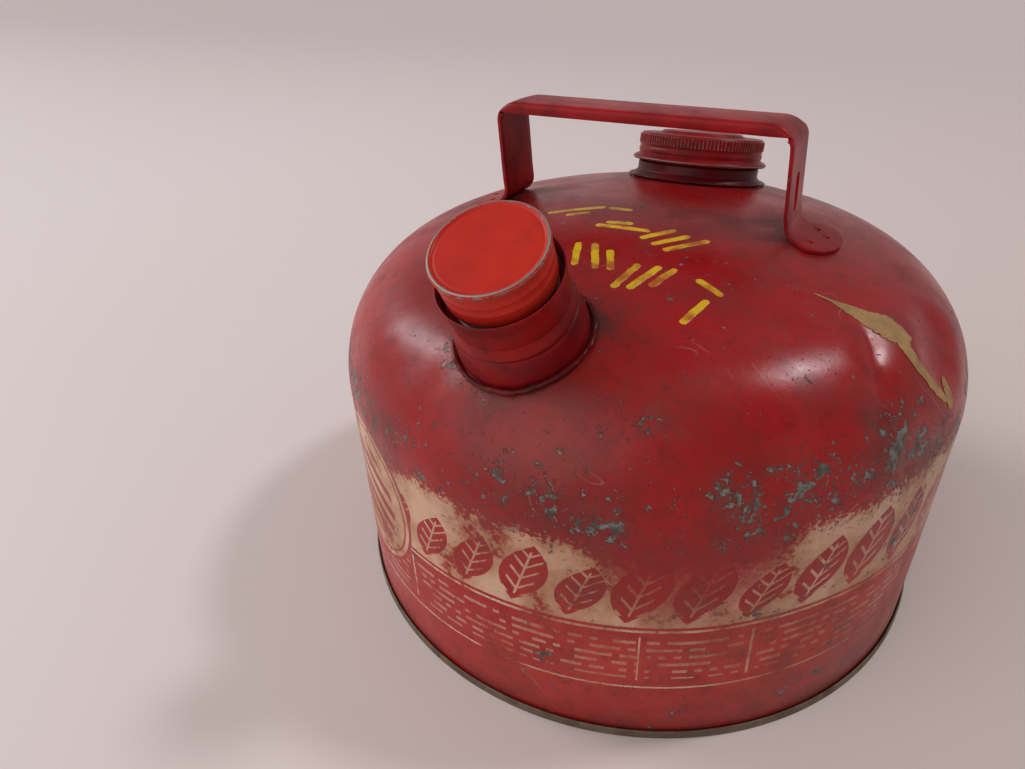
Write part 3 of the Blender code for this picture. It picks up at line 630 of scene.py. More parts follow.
def store_patches(piece, name, patches, spots=()):
    """Adds up soft patches at each vertex. Reaches are in millimetres."""
    mesh = piece.data
    places = np.empty(len(mesh.vertices) * 3, np.float32)
    mesh.vertices.foreach_get("co", places)
    places = places.reshape(-1, 3)
    total = np.zeros(len(places))
    rows = [(on_body(azimuth, height), reach, strength) for azimuth, height, reach, strength in patches]
    for centre, reach, strength in rows + list(spots):
        away = ((places - np.array(centre)) ** 2).sum(1) / (reach / 1000) ** 2
        total = np.maximum(total, strength * np.exp(-away))
    mesh.attributes.new(name, "FLOAT", "POINT").data.foreach_set("value", total.astype(np.float32))


CHIP_SPOTS = [
    (SPOUT @ Vector((0.0285 * math.cos(a), 0.0285 * math.sin(a), 0.0)), 4.0, 1.2)
    for a in (math.radians(degrees) for degrees in (208, 222, 236, 264))
]
store_patches(body, "chips", CHIP_PATCHES, CHIP_SPOTS)
# This stored mask mixes grime with painted shade in the corners where parts meet the body.
store_patches(body, "grime_and_shade", GRIME_AND_SHADE_PATCHES, GRIME_AND_SHADE_SPOTS)
store_patches(body, "fade", FADE_PATCHES)
print("stored:", [a.name for a in body.data.attributes if a.data_type == "FLOAT"])

# %% [markdown]
# ## Finish: the painted and printed body
# The red has a deep state and a faded one. Round the wall runs a printed cream band with plain red
# leaves, two thin rules, panels of short bars and a round badge with stripes, all of them plain
# ornament. It could be a picture, but a formula in the angle and the height stays sharp
# and goes all round. On top come brushed yellow dabs, grime with painted shade in the corners, scratches and chips down
# to the zinc.

# %% Body place
body_finish, tree, shader = new_finish("body_enamel")
place, x, y, z = object_place(tree)
angle = calc(tree, "ARCTAN2", x, calc(tree, "MULTIPLY", y, -1.0))
around = calc(tree, "MULTIPLY", angle, BODY_RADIUS)
BAND_TILT = 0.035  # the print climbs a little to the right
rough_edge = calc(tree, "MULTIPLY", calc(tree, "SUBTRACT", mottle(tree, place, 700.0, 4.0, 0.7), 0.5), 0.0012)
level = calc(tree, "ADD", calc(tree, "SUBTRACT", z, calc(tree, "MULTIPLY", x, BAND_TILT)), rough_edge)
slow = mottle(tree, place, 11.0, 4.0, 0.55)
patchy = mottle(tree, place, 46.0, 6.0, 0.62)
grain = mottle(tree, place, 520.0, 4.0, 0.6)
print("band tilts", BAND_TILT)

# %% Body reds
FRESH_RED = (0.340, 0.0040, 0.0060)
DEEP_RED = (0.215, 0.0030, 0.0040)
FADED_RED = (0.470, 0.0360, 0.0250)
red = blend(tree, ease(tree, slow, 0.38, 0.66), FRESH_RED, DEEP_RED)
faded = calc(tree, "MULTIPLY", stored(tree, "fade"), ease(tree, calc(tree, "ADD", patchy, slow), 0.75, 1.15))
red = blend(tree, calc(tree, "MINIMUM", faded, 0.85), red, FADED_RED)
red = blend(tree, calc(tree, "MULTIPLY", ease(tree, patchy, 0.47, 0.66), 0.50), red, DEEP_RED)
stain = mottle(tree, place, 135.0, 6.0, 0.70, 0.4)
red = blend(tree, calc(tree, "MULTIPLY", ease(tree, stain, 0.50, 0.68), 0.42), red, (0.120, 0.007, 0.006))
red = blend(tree, calc(tree, "MULTIPLY", ease(tree, grain, 0.60, 0.74), 0.35), red, (0.10, 0.006, 0.006))
print("reds ready")

# %% [markdown]
# ### The printed band
# A repeated ornament comes from the fraction of the angle: whole parts number the cells, and the
# fraction says where in its cell a point is. Each leaf is a lens shape in sheared coordinates, with a
# cream veins like a fern's, and a random number per cell varies its size. The band's upper edge fades into
# the red, most of all in front.

# %% Band ground
BAND_LOW, BAND_HIGH = 0.0652, 0.1075
front_fade = ease(tree, calc(tree, "ABSOLUTE", calc(tree, "SUBTRACT", angle, 0.52)), 0.30, 0.10)
left_hole = within(tree, angle, -0.03, 0.085, 0.02)
band_top = calc(tree, "SUBTRACT", BAND_HIGH, calc(tree, "MULTIPLY", front_fade, 0.027))
band_top = calc(tree, "SUBTRACT", band_top, calc(tree, "MULTIPLY", ease(tree, slow, 0.45, 0.62), 0.006))
fade_width = calc(tree, "ADD", 0.0024, calc(tree, "MULTIPLY", front_fade, 0.018))
upper = ease(tree, calc(tree, "ADD", level, calc(tree, "MULTIPLY", calc(tree, "SUBTRACT", grain, 0.5), 0.026)),
             calc(tree, "ADD", band_top, fade_width), calc(tree, "SUBTRACT", band_top, fade_width))
ground = calc(tree, "MULTIPLY", upper, ease(tree, level, BAND_LOW - 0.0002, BAND_LOW + 0.0002))
print("band from", BAND_LOW, "to", BAND_HIGH)

# %% Leaves
LEAVES = 40
LEAF_FOOT = 0.0672
LEAF_LEAN = 0.42
cells = calc(tree, "MULTIPLY", angle, LEAVES / math.tau)
cell = calc(tree, "FLOOR", cells)
chance = lot(tree, cell)
across = calc(tree, "MULTIPLY", calc(tree, "SUBTRACT", calc(tree, "FRACT", cells), 0.5), math.tau * BODY_RADIUS / LEAVES)
tall = calc(tree, "ADD", 0.0130, calc(tree, "MULTIPLY", chance, 0.0050))
rise = calc(tree, "DIVIDE", calc(tree, "SUBTRACT", calc(tree, "SUBTRACT", level, LEAF_FOOT), tall), tall)
leaning = calc(tree, "SUBTRACT", across, calc(tree, "MULTIPLY", rise, LEAF_LEAN * 0.0125))
belly = calc(tree, "SUBTRACT", 1.0, calc(tree, "MULTIPLY", rise, rise))
wide = calc(tree, "MULTIPLY", belly, calc(tree, "ADD", 0.0086, calc(tree, "MULTIPLY", chance, 0.0020)))
away = calc(tree, "ABSOLUTE", leaning)
leaf = ease(tree, calc(tree, "SUBTRACT", away, wide), 0.0002, -0.0002)
vein = ease(tree, calc(tree, "ABSOLUTE", leaning), 0.0006, 0.0004)
ribs = calc(tree, "SUBTRACT", calc(tree, "MULTIPLY", rise, 2.6), calc(tree, "MULTIPLY", away, 150.0))
rib = within(tree, calc(tree, "FRACT", ribs), 0.5, 0.11, 0.03)
vein = calc(tree, "MAXIMUM", vein, calc(tree, "MULTIPLY", rib, ease(tree, away, 0.0062, 0.0056)))
vein = calc(tree, "MULTIPLY", vein, ease(tree, calc(tree, "ABSOLUTE", rise), 0.80, 0.74))
ornament = calc(tree, "MULTIPLY", leaf, calc(tree, "SUBTRACT", 1.0, vein))
cream_print = calc(tree, "MULTIPLY", ground, calc(tree, "SUBTRACT", 1.0, ornament))
print("leaves:", LEAVES)

# %% Rules, panels and bars
UPPER_RULE, LOWER_RULE = 0.0630, 0.0300
rules = calc(tree, "MAXIMUM", within(tree, level, UPPER_RULE, 0.0006, 0.00015), within(tree, level, LOWER_RULE, 0.00045, 0.00015))
in_panel = within(tree, level, 0.0470, 0.0128, 0.0002)
PANEL_TURN = math.tau / 6
panel = calc(tree, "MULTIPLY", calc(tree, "FRACT", calc(tree, "DIVIDE", calc(tree, "SUBTRACT", angle, 0.394), PANEL_TURN)), PANEL_TURN * BODY_RADIUS)
PANEL_SPLIT = 0.0434
divider = calc(tree, "MAXIMUM", within(tree, panel, 0.0, 0.0007, 0.0001), within(tree, panel, PANEL_SPLIT, 0.0006, 0.0001))
divider = calc(tree, "MULTIPLY", divider, in_panel)
ROW_HEIGHT = 0.0042
rows = calc(tree, "DIVIDE", level, ROW_HEIGHT)
row = calc(tree, "FLOOR", rows)
in_row = within(tree, calc(tree, "FRACT", rows), 0.5, 0.20, 0.03)
marks = calc(tree, "ADD", calc(tree, "FLOOR", calc(tree, "DIVIDE", around, 0.0029)), calc(tree, "MULTIPLY", row, 37.0))
bars = calc(tree, "MULTIPLY", in_row, ease(tree, lot(tree, marks), 0.36, 0.38))
clear = calc(tree, "MULTIPLY", ease(tree, calc(tree, "ABSOLUTE", calc(tree, "SUBTRACT", panel, PANEL_SPLIT)), 0.0030, 0.0034), ease(tree, panel, 0.0030, 0.0034))
bars = calc(tree, "MULTIPLY", calc(tree, "MULTIPLY", bars, clear), within(tree, level, 0.0470, 0.0115, 0.0002))
small_print = calc(tree, "MAXIMUM", calc(tree, "MAXIMUM", rules, divider), calc(tree, "MULTIPLY", bars, 0.55))
small_print = calc(tree, "MULTIPLY", small_print, ease(tree, calc(tree, "ADD", patchy, calc(tree, "MULTIPLY", grain, 0.5)), 0.95, 0.72))
print("panels:", 6)

# %% Badge
BADGE_RADIUS = 0.0355
badge_turn = calc(tree, "FRACT", calc(tree, "ADD", calc(tree, "DIVIDE", calc(tree, "ADD", angle, 0.600), math.pi), 0.5))
badge_x = calc(tree, "MULTIPLY", calc(tree, "SUBTRACT", badge_turn, 0.5), math.pi * BODY_RADIUS)
badge_z = calc(tree, "SUBTRACT", level, 0.0760)
badge_r = calc(tree, "SQRT", calc(tree, "ADD", calc(tree, "MULTIPLY", badge_x, badge_x), calc(tree, "MULTIPLY", badge_z, badge_z)))
badge = ease(tree, badge_r, BADGE_RADIUS + 0.0002, BADGE_RADIUS - 0.0002)
badge_edge = ease(tree, badge_r, BADGE_RADIUS + 0.0022, BADGE_RADIUS + 0.0018)
thin_ring = within(tree, badge_r, 0.0325, 0.0006, 0.0001)
stripes = within(tree, calc(tree, "FRACT", calc(tree, "DIVIDE", calc(tree, "ADD", badge_z, calc(tree, "MULTIPLY", badge_x, 0.35)), 0.0100)), 0.5, 0.24, 0.02)
stripes = calc(tree, "MULTIPLY", stripes, ease(tree, badge_r, 0.0242, 0.0238))
badge_red = calc(tree, "MAXIMUM", thin_ring, stripes)
print("badge radius", BADGE_RADIUS)

# %% Print put together
CREAM = (0.600, 0.390, 0.270)
STAINED_CREAM = (0.410, 0.210, 0.115)
printed = calc(tree, "MAXIMUM", calc(tree, "MULTIPLY", cream_print, 0.94), small_print)
printed = calc(tree, "MULTIPLY", printed, calc(tree, "SUBTRACT", 1.0, badge_edge))
printed = calc(tree, "MAXIMUM", printed, calc(tree, "MULTIPLY", badge, calc(tree, "SUBTRACT", 1.0, badge_red)))
printed = calc(tree, "MULTIPLY", printed, ease(tree, calc(tree, "ADD", patchy, calc(tree, "MULTIPLY", grain, 0.35)), 0.86, 0.74))
cream = blend(tree, ease(tree, calc(tree, "ADD", patchy, slow), 0.85, 1.15), CREAM, STAINED_CREAM)
colour = blend(tree, printed, red, cream)
print("print ready")

# %% [markdown]
# ### Yellow dabs
# Someone once wiped a paint marker on the dome. Each dab is the distance to a short line in plan, and
# a wavering threshold gives it the width and the rough ends of a brush. They form no sign.

# %% Dabs
DAB_HALF_WIDTH = 0.00150
DABS = [
    ((-0.040, -0.0165), (-0.019, -0.0065)), ((-0.030, -0.018), (-0.023, -0.0145)), ((-0.014, -0.0065), (-0.006, -0.0060)),
    ((-0.012, -0.0255), (0.009, -0.0240)), ((-0.009, -0.0215), (0.000, -0.0200)), ((0.010, -0.0300), (0.019, -0.0195)),
    ((0.016, -0.0335), (0.026, -0.0220)), ((0.022, -0.0360), (0.034, -0.0220)), ((-0.013, -0.044), (-0.008, -0.058)),
    ((-0.006, -0.043), (0.001, -0.058)), ((0.002, -0.046), (0.007, -0.057)), ((0.013, -0.067), (0.016, -0.052)),
    ((0.019, -0.0655), (0.024, -0.050)), ((0.026, -0.061), (0.030, -0.049)), ((0.041, -0.051), (0.050, -0.055)),
    ((0.0435, -0.0755), (0.047, -0.062)),
]
plan = tree.nodes.new("ShaderNodeCombineXYZ")
tree.links.new(x, plan.inputs[0])
tree.links.new(y, plan.inputs[1])


def reckon(operation, *values):
    """One Vector Math node."""
    node = tree.nodes.new("ShaderNodeVectorMath")
    node.operation = operation
    for socket, value in zip(node.inputs, values):
        feed(tree, socket, value)
    return node


def distance_to_line(start, end):
    """How far a point in plan is from a short line."""
    along = Vector((end[0] - start[0], end[1] - start[1], 0.0))
    offset = reckon("SUBTRACT", plan.outputs[0], (*start, 0.0)).outputs[0]
    share = calc(tree, "DIVIDE", reckon("DOT_PRODUCT", offset, tuple(along)).outputs["Value"], along.length_squared)
    share = calc(tree, "MINIMUM", calc(tree, "MAXIMUM", share, 0.0), 1.0)
    scaled = reckon("SCALE", tuple(along))
    tree.links.new(share, scaled.inputs["Scale"])
    return reckon("LENGTH", reckon("SUBTRACT", offset, scaled.outputs[0]).outputs[0]).outputs["Value"]


nearest = distance_to_line(*DABS[0])
for start, end in DABS[1:]:
    nearest = calc(tree, "MINIMUM", nearest, distance_to_line(start, end))
waver = calc(tree, "MULTIPLY", calc(tree, "SUBTRACT", mottle(tree, place, 210.0, 3.0), 0.5), 0.0012)
dab = ease(tree, calc(tree, "ADD", nearest, waver), DAB_HALF_WIDTH + 0.00015, DAB_HALF_WIDTH - 0.00015)
dab = calc(tree, "MULTIPLY", dab, ease(tree, z, 0.150, 0.152))
thin_dab = ease(tree, mottle(tree, place, 95.0, 3.0), 0.45, 0.66)
yellow = blend(tree, thin_dab, (0.70, 0.46, 0.006), (0.42, 0.115, 0.010))
colour = blend(tree, calc(tree, "MULTIPLY", dab, 0.93), colour, yellow)
print("dabs:", len(DABS))

# %% [markdown]
# ### Grime and painted shade, scratches and chips
# Grime is brown and dull, and it lies thickest where the stored patches say; at the wall's foot and round the necks and
# the handle's feet it is also painted shade in the corners. A scratch is the thin line where a slow noise crosses its
# middle value. A chip has a dark rim, a bare floor and a lower level, and the bare zinc is what gives it its cool grey.

# %% Grime and painted shade
# The stored patches darken toward dark brown; at the wall's foot and round the necks and the handle's feet this is
# painted shade as well as grime.
dirt_and_shade = calc(tree, "MULTIPLY", stored(tree, "grime_and_shade"), ease(tree, calc(tree, "ADD", patchy, grain), 0.72, 1.12))
colour = blend(tree, dirt_and_shade, colour, (0.055, 0.020, 0.012))
haze = calc(tree, "MULTIPLY", ease(tree, calc(tree, "MULTIPLY", slow, patchy), 0.27, 0.40), 0.22)
colour = blend(tree, haze, colour, (0.17, 0.055, 0.035))
print("grime ready")

# %% Scratches
crossing = calc(tree, "ABSOLUTE", calc(tree, "SUBTRACT", mottle(tree, place, 17.0, 2.0, 0.5, 1.6), 0.5))
here = ease(tree, mottle(tree, place, 26.0, 2.0), 0.60, 0.66)
scratch = calc(tree, "MULTIPLY", ease(tree, crossing, 0.0036, 0.0016), here)
colour = blend(tree, calc(tree, "MULTIPLY", scratch, 0.6), colour, (0.30, 0.16, 0.13))
print("scratches ready")

# %% Chips
shoulder = ease(tree, calc(tree, "ABSOLUTE", calc(tree, "SUBTRACT", z, 0.119)), 0.024, 0.004)
loose = calc(tree, "ADD", calc(tree, "MULTIPLY", stored(tree, "chips"), 0.122), calc(tree, "MULTIPLY", shoulder, 0.045))
large_flakes = calc(tree, "ADD", mottle(tree, place, 205.0, 6.0, 0.62, 0.4), loose)
small_flakes = calc(tree, "ADD", mottle(tree, place, 560.0, 4.0, 0.6, 0.3), calc(tree, "MULTIPLY", loose, 0.8))
flaking = calc(tree, "MAXIMUM", large_flakes, calc(tree, "SUBTRACT", small_flakes, 0.010))
chip_rim = ease(tree, flaking, 0.655, 0.690)
chip = ease(tree, flaking, 0.692, 0.702)
scuff = calc(tree, "MULTIPLY", stored(tree, "chips"), ease(tree, mottle(tree, place, 75.0, 7.0, 0.72, 0.6), 0.44, 0.62))
colour = blend(tree, calc(tree, "MULTIPLY", scuff, 0.50), colour, (0.120, 0.062, 0.046))
colour = blend(tree, calc(tree, "MULTIPLY", chip_rim, 0.7), colour, (0.085, 0.030, 0.022))
zinc_tone = ease(tree, mottle(tree, place, 260.0, 5.0, 0.7), 0.36, 0.66)
colour = blend(tree, chip, colour, blend(tree, zinc_tone, (0.070, 0.066, 0.055), (0.235, 0.245, 0.230)))
feed(tree, shader.inputs["Base Color"], colour)
feed(tree, shader.inputs["Metallic"], calc(tree, "MULTIPLY", chip, 0.35))
print("chips ready")

# %% Body gloss and relief
gloss = mixed(tree, ease(tree, patchy, 0.35, 0.70), 0.24, 0.38)
gloss = mixed(tree, calc(tree, "MAXIMUM", printed, faded), gloss, 0.47)
gloss = mixed(tree, calc(tree, "MAXIMUM", dirt_and_shade, chip), gloss, 0.60)
feed(tree, shader.inputs["Roughness"], gloss)
relief = calc(tree, "ADD", calc(tree, "MULTIPLY", grain, 0.05), calc(tree, "MULTIPLY", patchy, 0.30))
relief = calc(tree, "ADD", relief, calc(tree, "MULTIPLY", dab, 0.25))
relief = calc(tree, "SUBTRACT", relief, calc(tree, "MULTIPLY", chip_rim, 0.40))
emboss(tree, shader, relief, 0.00045)
shader.inputs["Specular IOR Level"].default_value = PAINT_SHEEN
hand_over(body, body_finish, "can", "red_paint", "body_shell")

# %% [markdown]
# ## Base pan and seam
# The base is a pan whose edge was folded up round the wall and rolled tight. Its outline goes up the
# outside of the fold, over it and down inside, and across the recessed floor with its stiffening bead.

# %% Base pan
SEAM_RADIUS, SEAM_HEIGHT = 0.1434, 0.0044
FLOOR_Z = 0.0065
BEAD_R, BEAD_HEIGHT = 0.100, 0.0016
channel_inner = SEAM_RADIUS - 4 * SHEET
bead_side = 4 * BEAD_HEIGHT
pan_outline = [
    (0.0, FLOOR_Z + SHEET),
    (BEAD_R - bead_side, FLOOR_Z + SHEET),
    (BEAD_R, FLOOR_Z + SHEET + BEAD_HEIGHT),
    (BEAD_R + bead_side, FLOOR_Z + SHEET),
    (channel_inner + SHEET, FLOOR_Z + SHEET),
    (channel_inner + SHEET, SHEET),
    (SEAM_RADIUS - SHEET, SHEET),
    (SEAM_RADIUS - SHEET, SEAM_HEIGHT),
    (SEAM_RADIUS, SEAM_HEIGHT),
    (SEAM_RADIUS, 0.0),
    (channel_inner, 0.0),
    (channel_inner, FLOOR_Z),
    (BEAD_R + bead_side, FLOOR_Z),
    (BEAD_R, FLOOR_Z + BEAD_HEIGHT),
    (BEAD_R - bead_side, FLOOR_Z),
    (0.0, FLOOR_Z),
]
pan = turned("base_pan_rolled", eased(pan_outline, 0.0005), 256)
hand_over(pan, seam_steel, "can", "bare_steel", "base_pan")

# %% [markdown]
# ## Handle
# The handle is one steel strap. Its grip is a channel, whose two edges are folded down and fade out in
# the bends, and its feet spread into round paddles that follow the dome. A curve with a bevel can't
# change its section like that, so a flat grid is laid along the strap's path row by row, and Solidify
# and Bevel make it a sheet with soft edges. The slot and the weld dimples are cut last.

# %% Handle measures
HANDLE_X, HANDLE_Y = -0.0060, 0.0122
HANDLE_RACK = 0.0029
FOOT_Z, GRIP_Z = 0.1710, 0.2178
HALF_SPAN, HALF_WIDTH = 0.0671, 0.0137
STRAP = 0.0015
GRIP_BEND, FOOT_BEND = 0.0100, 0.0050
GRIP_CROWN, GRIP_BACK_DROP = 0.0005, 0.0017
FLANGE, FLANGE_BEND = 0.0048, 0.0021
FOOT_LENGTH, FOOT_HALF_WIDTH = 0.0205, 0.0174
STRAP_GAP = 0.0003


def strap_path():
    """Places along half of the strap: distance out, height or None on the dome, rise over the dome, half width and fold."""
    start = HALF_SPAN - GRIP_BEND
    stations = [(start * i / 12, GRIP_Z, 0.0, HALF_WIDTH, FLANGE) for i in range(12)]
    for out, height in arc(start, GRIP_Z - GRIP_BEND, GRIP_BEND, 0.0, math.pi / 2, 14):
        stations.append((out, height, 0.0, HALF_WIDTH, max(0.0, FLANGE - (GRIP_Z - height))))
    low = FOOT_Z + FOOT_BEND + 0.001
    for i in range(1, 9):
        stations.append((HALF_SPAN, GRIP_Z - GRIP_BEND + (low - GRIP_Z + GRIP_BEND) * i / 9, 0.0, HALF_WIDTH, 0.0))
    for i in range(9):
        turn = math.pi / 2 * i / 8
        flare = HALF_WIDTH + 0.0012 * (i / 8) ** 2
        stations.append((HALF_SPAN + FOOT_BEND * (1 - math.cos(turn)), None, FOOT_BEND * (1 - math.sin(turn)), flare, 0.0))
    middle = HALF_SPAN + FOOT_LENGTH * 0.46
    for i in range(1, 4):
        out = HALF_SPAN + FOOT_BEND + (middle - HALF_SPAN - FOOT_BEND) * i / 4
        width = HALF_WIDTH + 0.0012 + (FOOT_HALF_WIDTH - HALF_WIDTH - 0.0012) * math.sin(math.pi / 2 * i / 4)
        stations.append((out, None, 0.0, width, 0.0))
    for i in range(13):
        turn = math.radians(84) * i / 12
        out = middle + (HALF_SPAN + FOOT_LENGTH - middle) * math.sin(turn) / math.sin(math.radians(84))
        stations.append((out, None, 0.0, FOOT_HALF_WIDTH * math.cos(turn), 0.0))
    return stations


print("strap stations:", 2 * len(strap_path()) - 1)


# %% Handle rows
ACROSS = 10
FOLD_STEPS = 5


def strap_section(half, fold):
    """Points across the strap: sideways from the middle, and how far each one drops."""
    bend = min(FLANGE_BEND, fold)
    side = [((half - bend) * (1 - 2 * i / ACROSS), 0.0) for i in range(ACROSS // 2)]
    turn = [
        (half - bend + bend * math.sin(math.pi / 2 * i / FOLD_STEPS), bend - bend * math.cos(math.pi / 2 * i / FOLD_STEPS))
        for i in range(FOLD_STEPS + 1)
    ]
    right = side[::-1] + turn + [(half, (bend + fold) / 2), (half, fold)]
    return [(-across, drop) for across, drop in right[::-1]] + [(0.0, 0.0)] + right


def strap_row(side, station):
    """The strap's upper face at one station, as a row of points."""
    out, height, rise, half, fold = station
    points = []
    for across, drop in strap_section(half, fold):
        y_place = HANDLE_Y + across
        x_place = HANDLE_X + side * out
        if height is None:
            z_place = dome_z(math.hypot(x_place, y_place)) + STRAP_GAP + STRAP + rise
        else:
            x_place -= HANDLE_RACK * (height - FOOT_Z) / (GRIP_Z - FOOT_Z)
            on_grip = max(0.0, min(1.0, (height - GRIP_Z + GRIP_BEND) / GRIP_BEND))
            dip = GRIP_CROWN * (across / half) ** 2 + GRIP_BACK_DROP * (across / half + 1) / 2 + 0.0006 * (1 - side * out / HALF_SPAN) / 2
            z_place = height - drop - dip * on_grip
        points.append((x_place, y_place, z_place))
    return points


stations = strap_path()
rows_of_points = [strap_row(-1, s) for s in stations[::-1]] + [strap_row(1, s) for s in stations[1:]]
row_length = len(rows_of_points[0])
bpy.ops.mesh.primitive_grid_add(x_subdivisions=row_length - 1, y_subdivisions=len(rows_of_points) - 1, size=1.0)
handle = bpy.context.object
handle.name = handle.data.name = "handle_strap_bent"
for vertex, point in zip(handle.data.vertices, [p for row_points in rows_of_points for p in row_points]):
    vertex.co = point
print("handle grid:", len(rows_of_points), "rows of", row_length)

# %% Handle sheet
select_only(handle)
bpy.ops.object.mode_set(mode="EDIT")
bpy.ops.mesh.select_all(action="SELECT")
bpy.ops.mesh.remove_doubles(threshold=0.00004)
bpy.ops.mesh.normals_make_consistent(inside=False)
bpy.ops.object.mode_set(mode="OBJECT")
top_face = max(handle.data.polygons, key=lambda face: face.center.z)
if top_face.normal.z < 0:
    bpy.ops.object.mode_set(mode="EDIT")
    bpy.ops.mesh.flip_normals()
    bpy.ops.object.mode_set(mode="OBJECT")
use_modifier(handle, "SOLIDIFY", thickness=STRAP, offset=-1.0, use_even_offset=True)
use_modifier(handle, "BEVEL", width=0.00035, segments=2, limit_method="ANGLE", angle_limit=math.radians(50))
print("handle:", len(handle.data.polygons), "faces")

# %% Slot and weld dimples
SLOT_Z, SLOT_LENGTH, SLOT_WIDTH = 0.1880, 0.0165, 0.0066
bpy.ops.mesh.primitive_cylinder_add(vertices=32, radius=SLOT_WIDTH / 2, depth=0.012)
slot_tool = bpy.context.object
for vertex in slot_tool.data.vertices:
    vertex.co.x += math.copysign((SLOT_LENGTH - SLOT_WIDTH) / 2, vertex.co.x)
turn_on_side = Matrix.Rotation(math.pi / 2, 4, "Y")
lay_on(slot_tool, Matrix.Translation((HANDLE_X + HALF_SPAN, HANDLE_Y, SLOT_Z)) @ turn_on_side)
cut_away(handle, slot_tool)
DIMPLE_RADIUS = 0.0021
for side in (-1, 1):
    for out, across in ((0.0763, 0.0068), (0.0811, 0.0011), (0.0762, -0.0098)):
        spot = above(HANDLE_X + side * out, HANDLE_Y + across)
        bpy.ops.mesh.primitive_uv_sphere_add(segments=20, ring_count=12, radius=DIMPLE_RADIUS)
        ball = bpy.context.object
        lay_on(ball, Matrix.Translation(spot + Vector((0.0, 0.0, STRAP_GAP + STRAP + 0.0013))))
        cut_away(handle, ball)
hand_over(handle, handle_enamel, "can", "red_paint", "handle_strap")

# %% [markdown]
# ## Filler neck and cap
# The filler neck is a pressed ring with a flange that was soldered to the dome. Its cap was pressed
# from thin sheet: a raised boss, a milled band to grip, a groove, a thread ridge and a flared hem. The
# milling could be a bump, but it shows on the outline, so every third vertex of the band is drawn out.

# %% Filler neck
FILLER_FOOT, FILLER_MOUTH, FILLER_FLANGE = 0.0309, 0.0297, 0.0333
FILLER_HEIGHT, FILLER_STEP = 0.0179, 0.0070
THREAD_LEAD, THREAD_DEPTH = 0.0042, 0.0004


def crown_sag(radius):
    """How far the crown falls away from its tangent plane."""
    return CROWN_RADIUS - math.sqrt(CROWN_RADIUS**2 - radius**2)


def thread(radius, top, bottom):
    """A neck's outer wall from the top down, with a soft ridge at each turn of its thread."""
    points = [(radius, top)]
    height = top - THREAD_LEAD / 2
    while height - THREAD_LEAD / 4 > bottom:
        points += [
            (radius, height + THREAD_LEAD / 4),
            (radius + THREAD_DEPTH * 0.98, height + THREAD_LEAD / 14),
            (radius + THREAD_DEPTH * 0.98, height - THREAD_LEAD / 14),
            (radius, height - THREAD_LEAD / 4),
        ]
        height -= THREAD_LEAD
    return points + [(radius, bottom)]


flange_under = STRAP_GAP - crown_sag(FILLER_FLANGE)
bore = FILLER_FOOT - SHEET
neck_outline = thread(FILLER_MOUTH, FILLER_HEIGHT, FILLER_STEP) + [
    (FILLER_FOOT, FILLER_STEP - SHEET),
    (FILLER_FOOT, STRAP_GAP + 2 * SHEET),
    (FILLER_FOOT + SHEET, STRAP_GAP + SHEET),
    (FILLER_FLANGE, flange_under + SHEET),
    (FILLER_FLANGE, flange_under),
    (bore, STRAP_GAP - crown_sag(bore)),
    (bore, FILLER_STEP - 2 * SHEET),
    (FILLER_MOUTH - SHEET, FILLER_STEP - SHEET),
    (FILLER_MOUTH - SHEET, FILLER_HEIGHT),
    (FILLER_MOUTH, FILLER_HEIGHT),
]
filler_neck = turned("filler_neck_pressed", eased(neck_outline, 0.0004), 160)
lay_on(filler_neck, FILLER)
# The filler neck's darker enamel is painted shade under the cap's hem.
hand_over(filler_neck, shaded_filler_neck_enamel, "can", "red_paint", "filler_neck")

# %% Filler cap
CAP_R, CAP_BORE, CAP_TOP, CAP_BOTTOM = 0.0316, 0.0304, 0.0208, 0.0073
CAP_HEM_R, BOSS_R, BOSS_HEIGHT = 0.0342, 0.0214, 0.0015
CAP_SHEET = 0.0008
groove = CAP_BORE + CAP_SHEET * 0.75
lid_outline = [
    (0.0, CAP_TOP + BOSS_HEIGHT),
    (BOSS_R - BOSS_HEIGHT, CAP_TOP + BOSS_HEIGHT),
    (BOSS_R, CAP_TOP + 0.0001),
    (BOSS_R + 0.0020, CAP_TOP - 0.0004),
    (CAP_R - 0.0034, CAP_TOP - 0.0004),
    (CAP_R - 0.0012, CAP_TOP),
    (CAP_R - 0.0003, CAP_TOP - 0.0012),
    (CAP_R - 0.0003, CAP_TOP - 0.0024),
    (CAP_R - 0.0003, CAP_TOP - 0.0044),
    (CAP_R - 0.0003, CAP_TOP - 0.0060),
    (groove, CAP_TOP - 0.0068),
    (CAP_R - 0.0001, CAP_TOP - 0.0080),
    (CAP_R - 0.0001, CAP_TOP - 0.0090),
    (groove, CAP_TOP - 0.0104),
    (CAP_HEM_R - 0.0006, CAP_BOTTOM + 0.0018),
    (CAP_HEM_R, CAP_BOTTOM + 0.0010),
    (CAP_HEM_R - 0.0004, CAP_BOTTOM),
    (CAP_BORE, CAP_BOTTOM),
    (CAP_BORE, CAP_TOP - CAP_SHEET),
    (BOSS_R - CAP_SHEET, CAP_TOP - CAP_SHEET),
    (BOSS_R - BOSS_HEIGHT - CAP_SHEET, CAP_TOP + BOSS_HEIGHT - CAP_SHEET),
    (0.0, CAP_TOP + BOSS_HEIGHT - CAP_SHEET),
]
RIDGES = 110
lid = turned("filler_cap_pressed", eased(lid_outline, 0.00035), RIDGES * 3)
for vertex in lid.data.vertices:
    radius = math.hypot(vertex.co.x, vertex.co.y)
    in_band = CAP_TOP - 0.0058 < vertex.co.z < CAP_TOP - 0.0012 and radius > CAP_R - 0.0005
    place_round = round(math.atan2(vertex.co.y, vertex.co.x) / math.tau * RIDGES * 3)
    if in_band and place_round % 3 == 0:
        vertex.co.x *= (CAP_R + 0.0001) / radius
        vertex.co.y *= (CAP_R + 0.0001) / radius
lay_on(lid, FILLER)
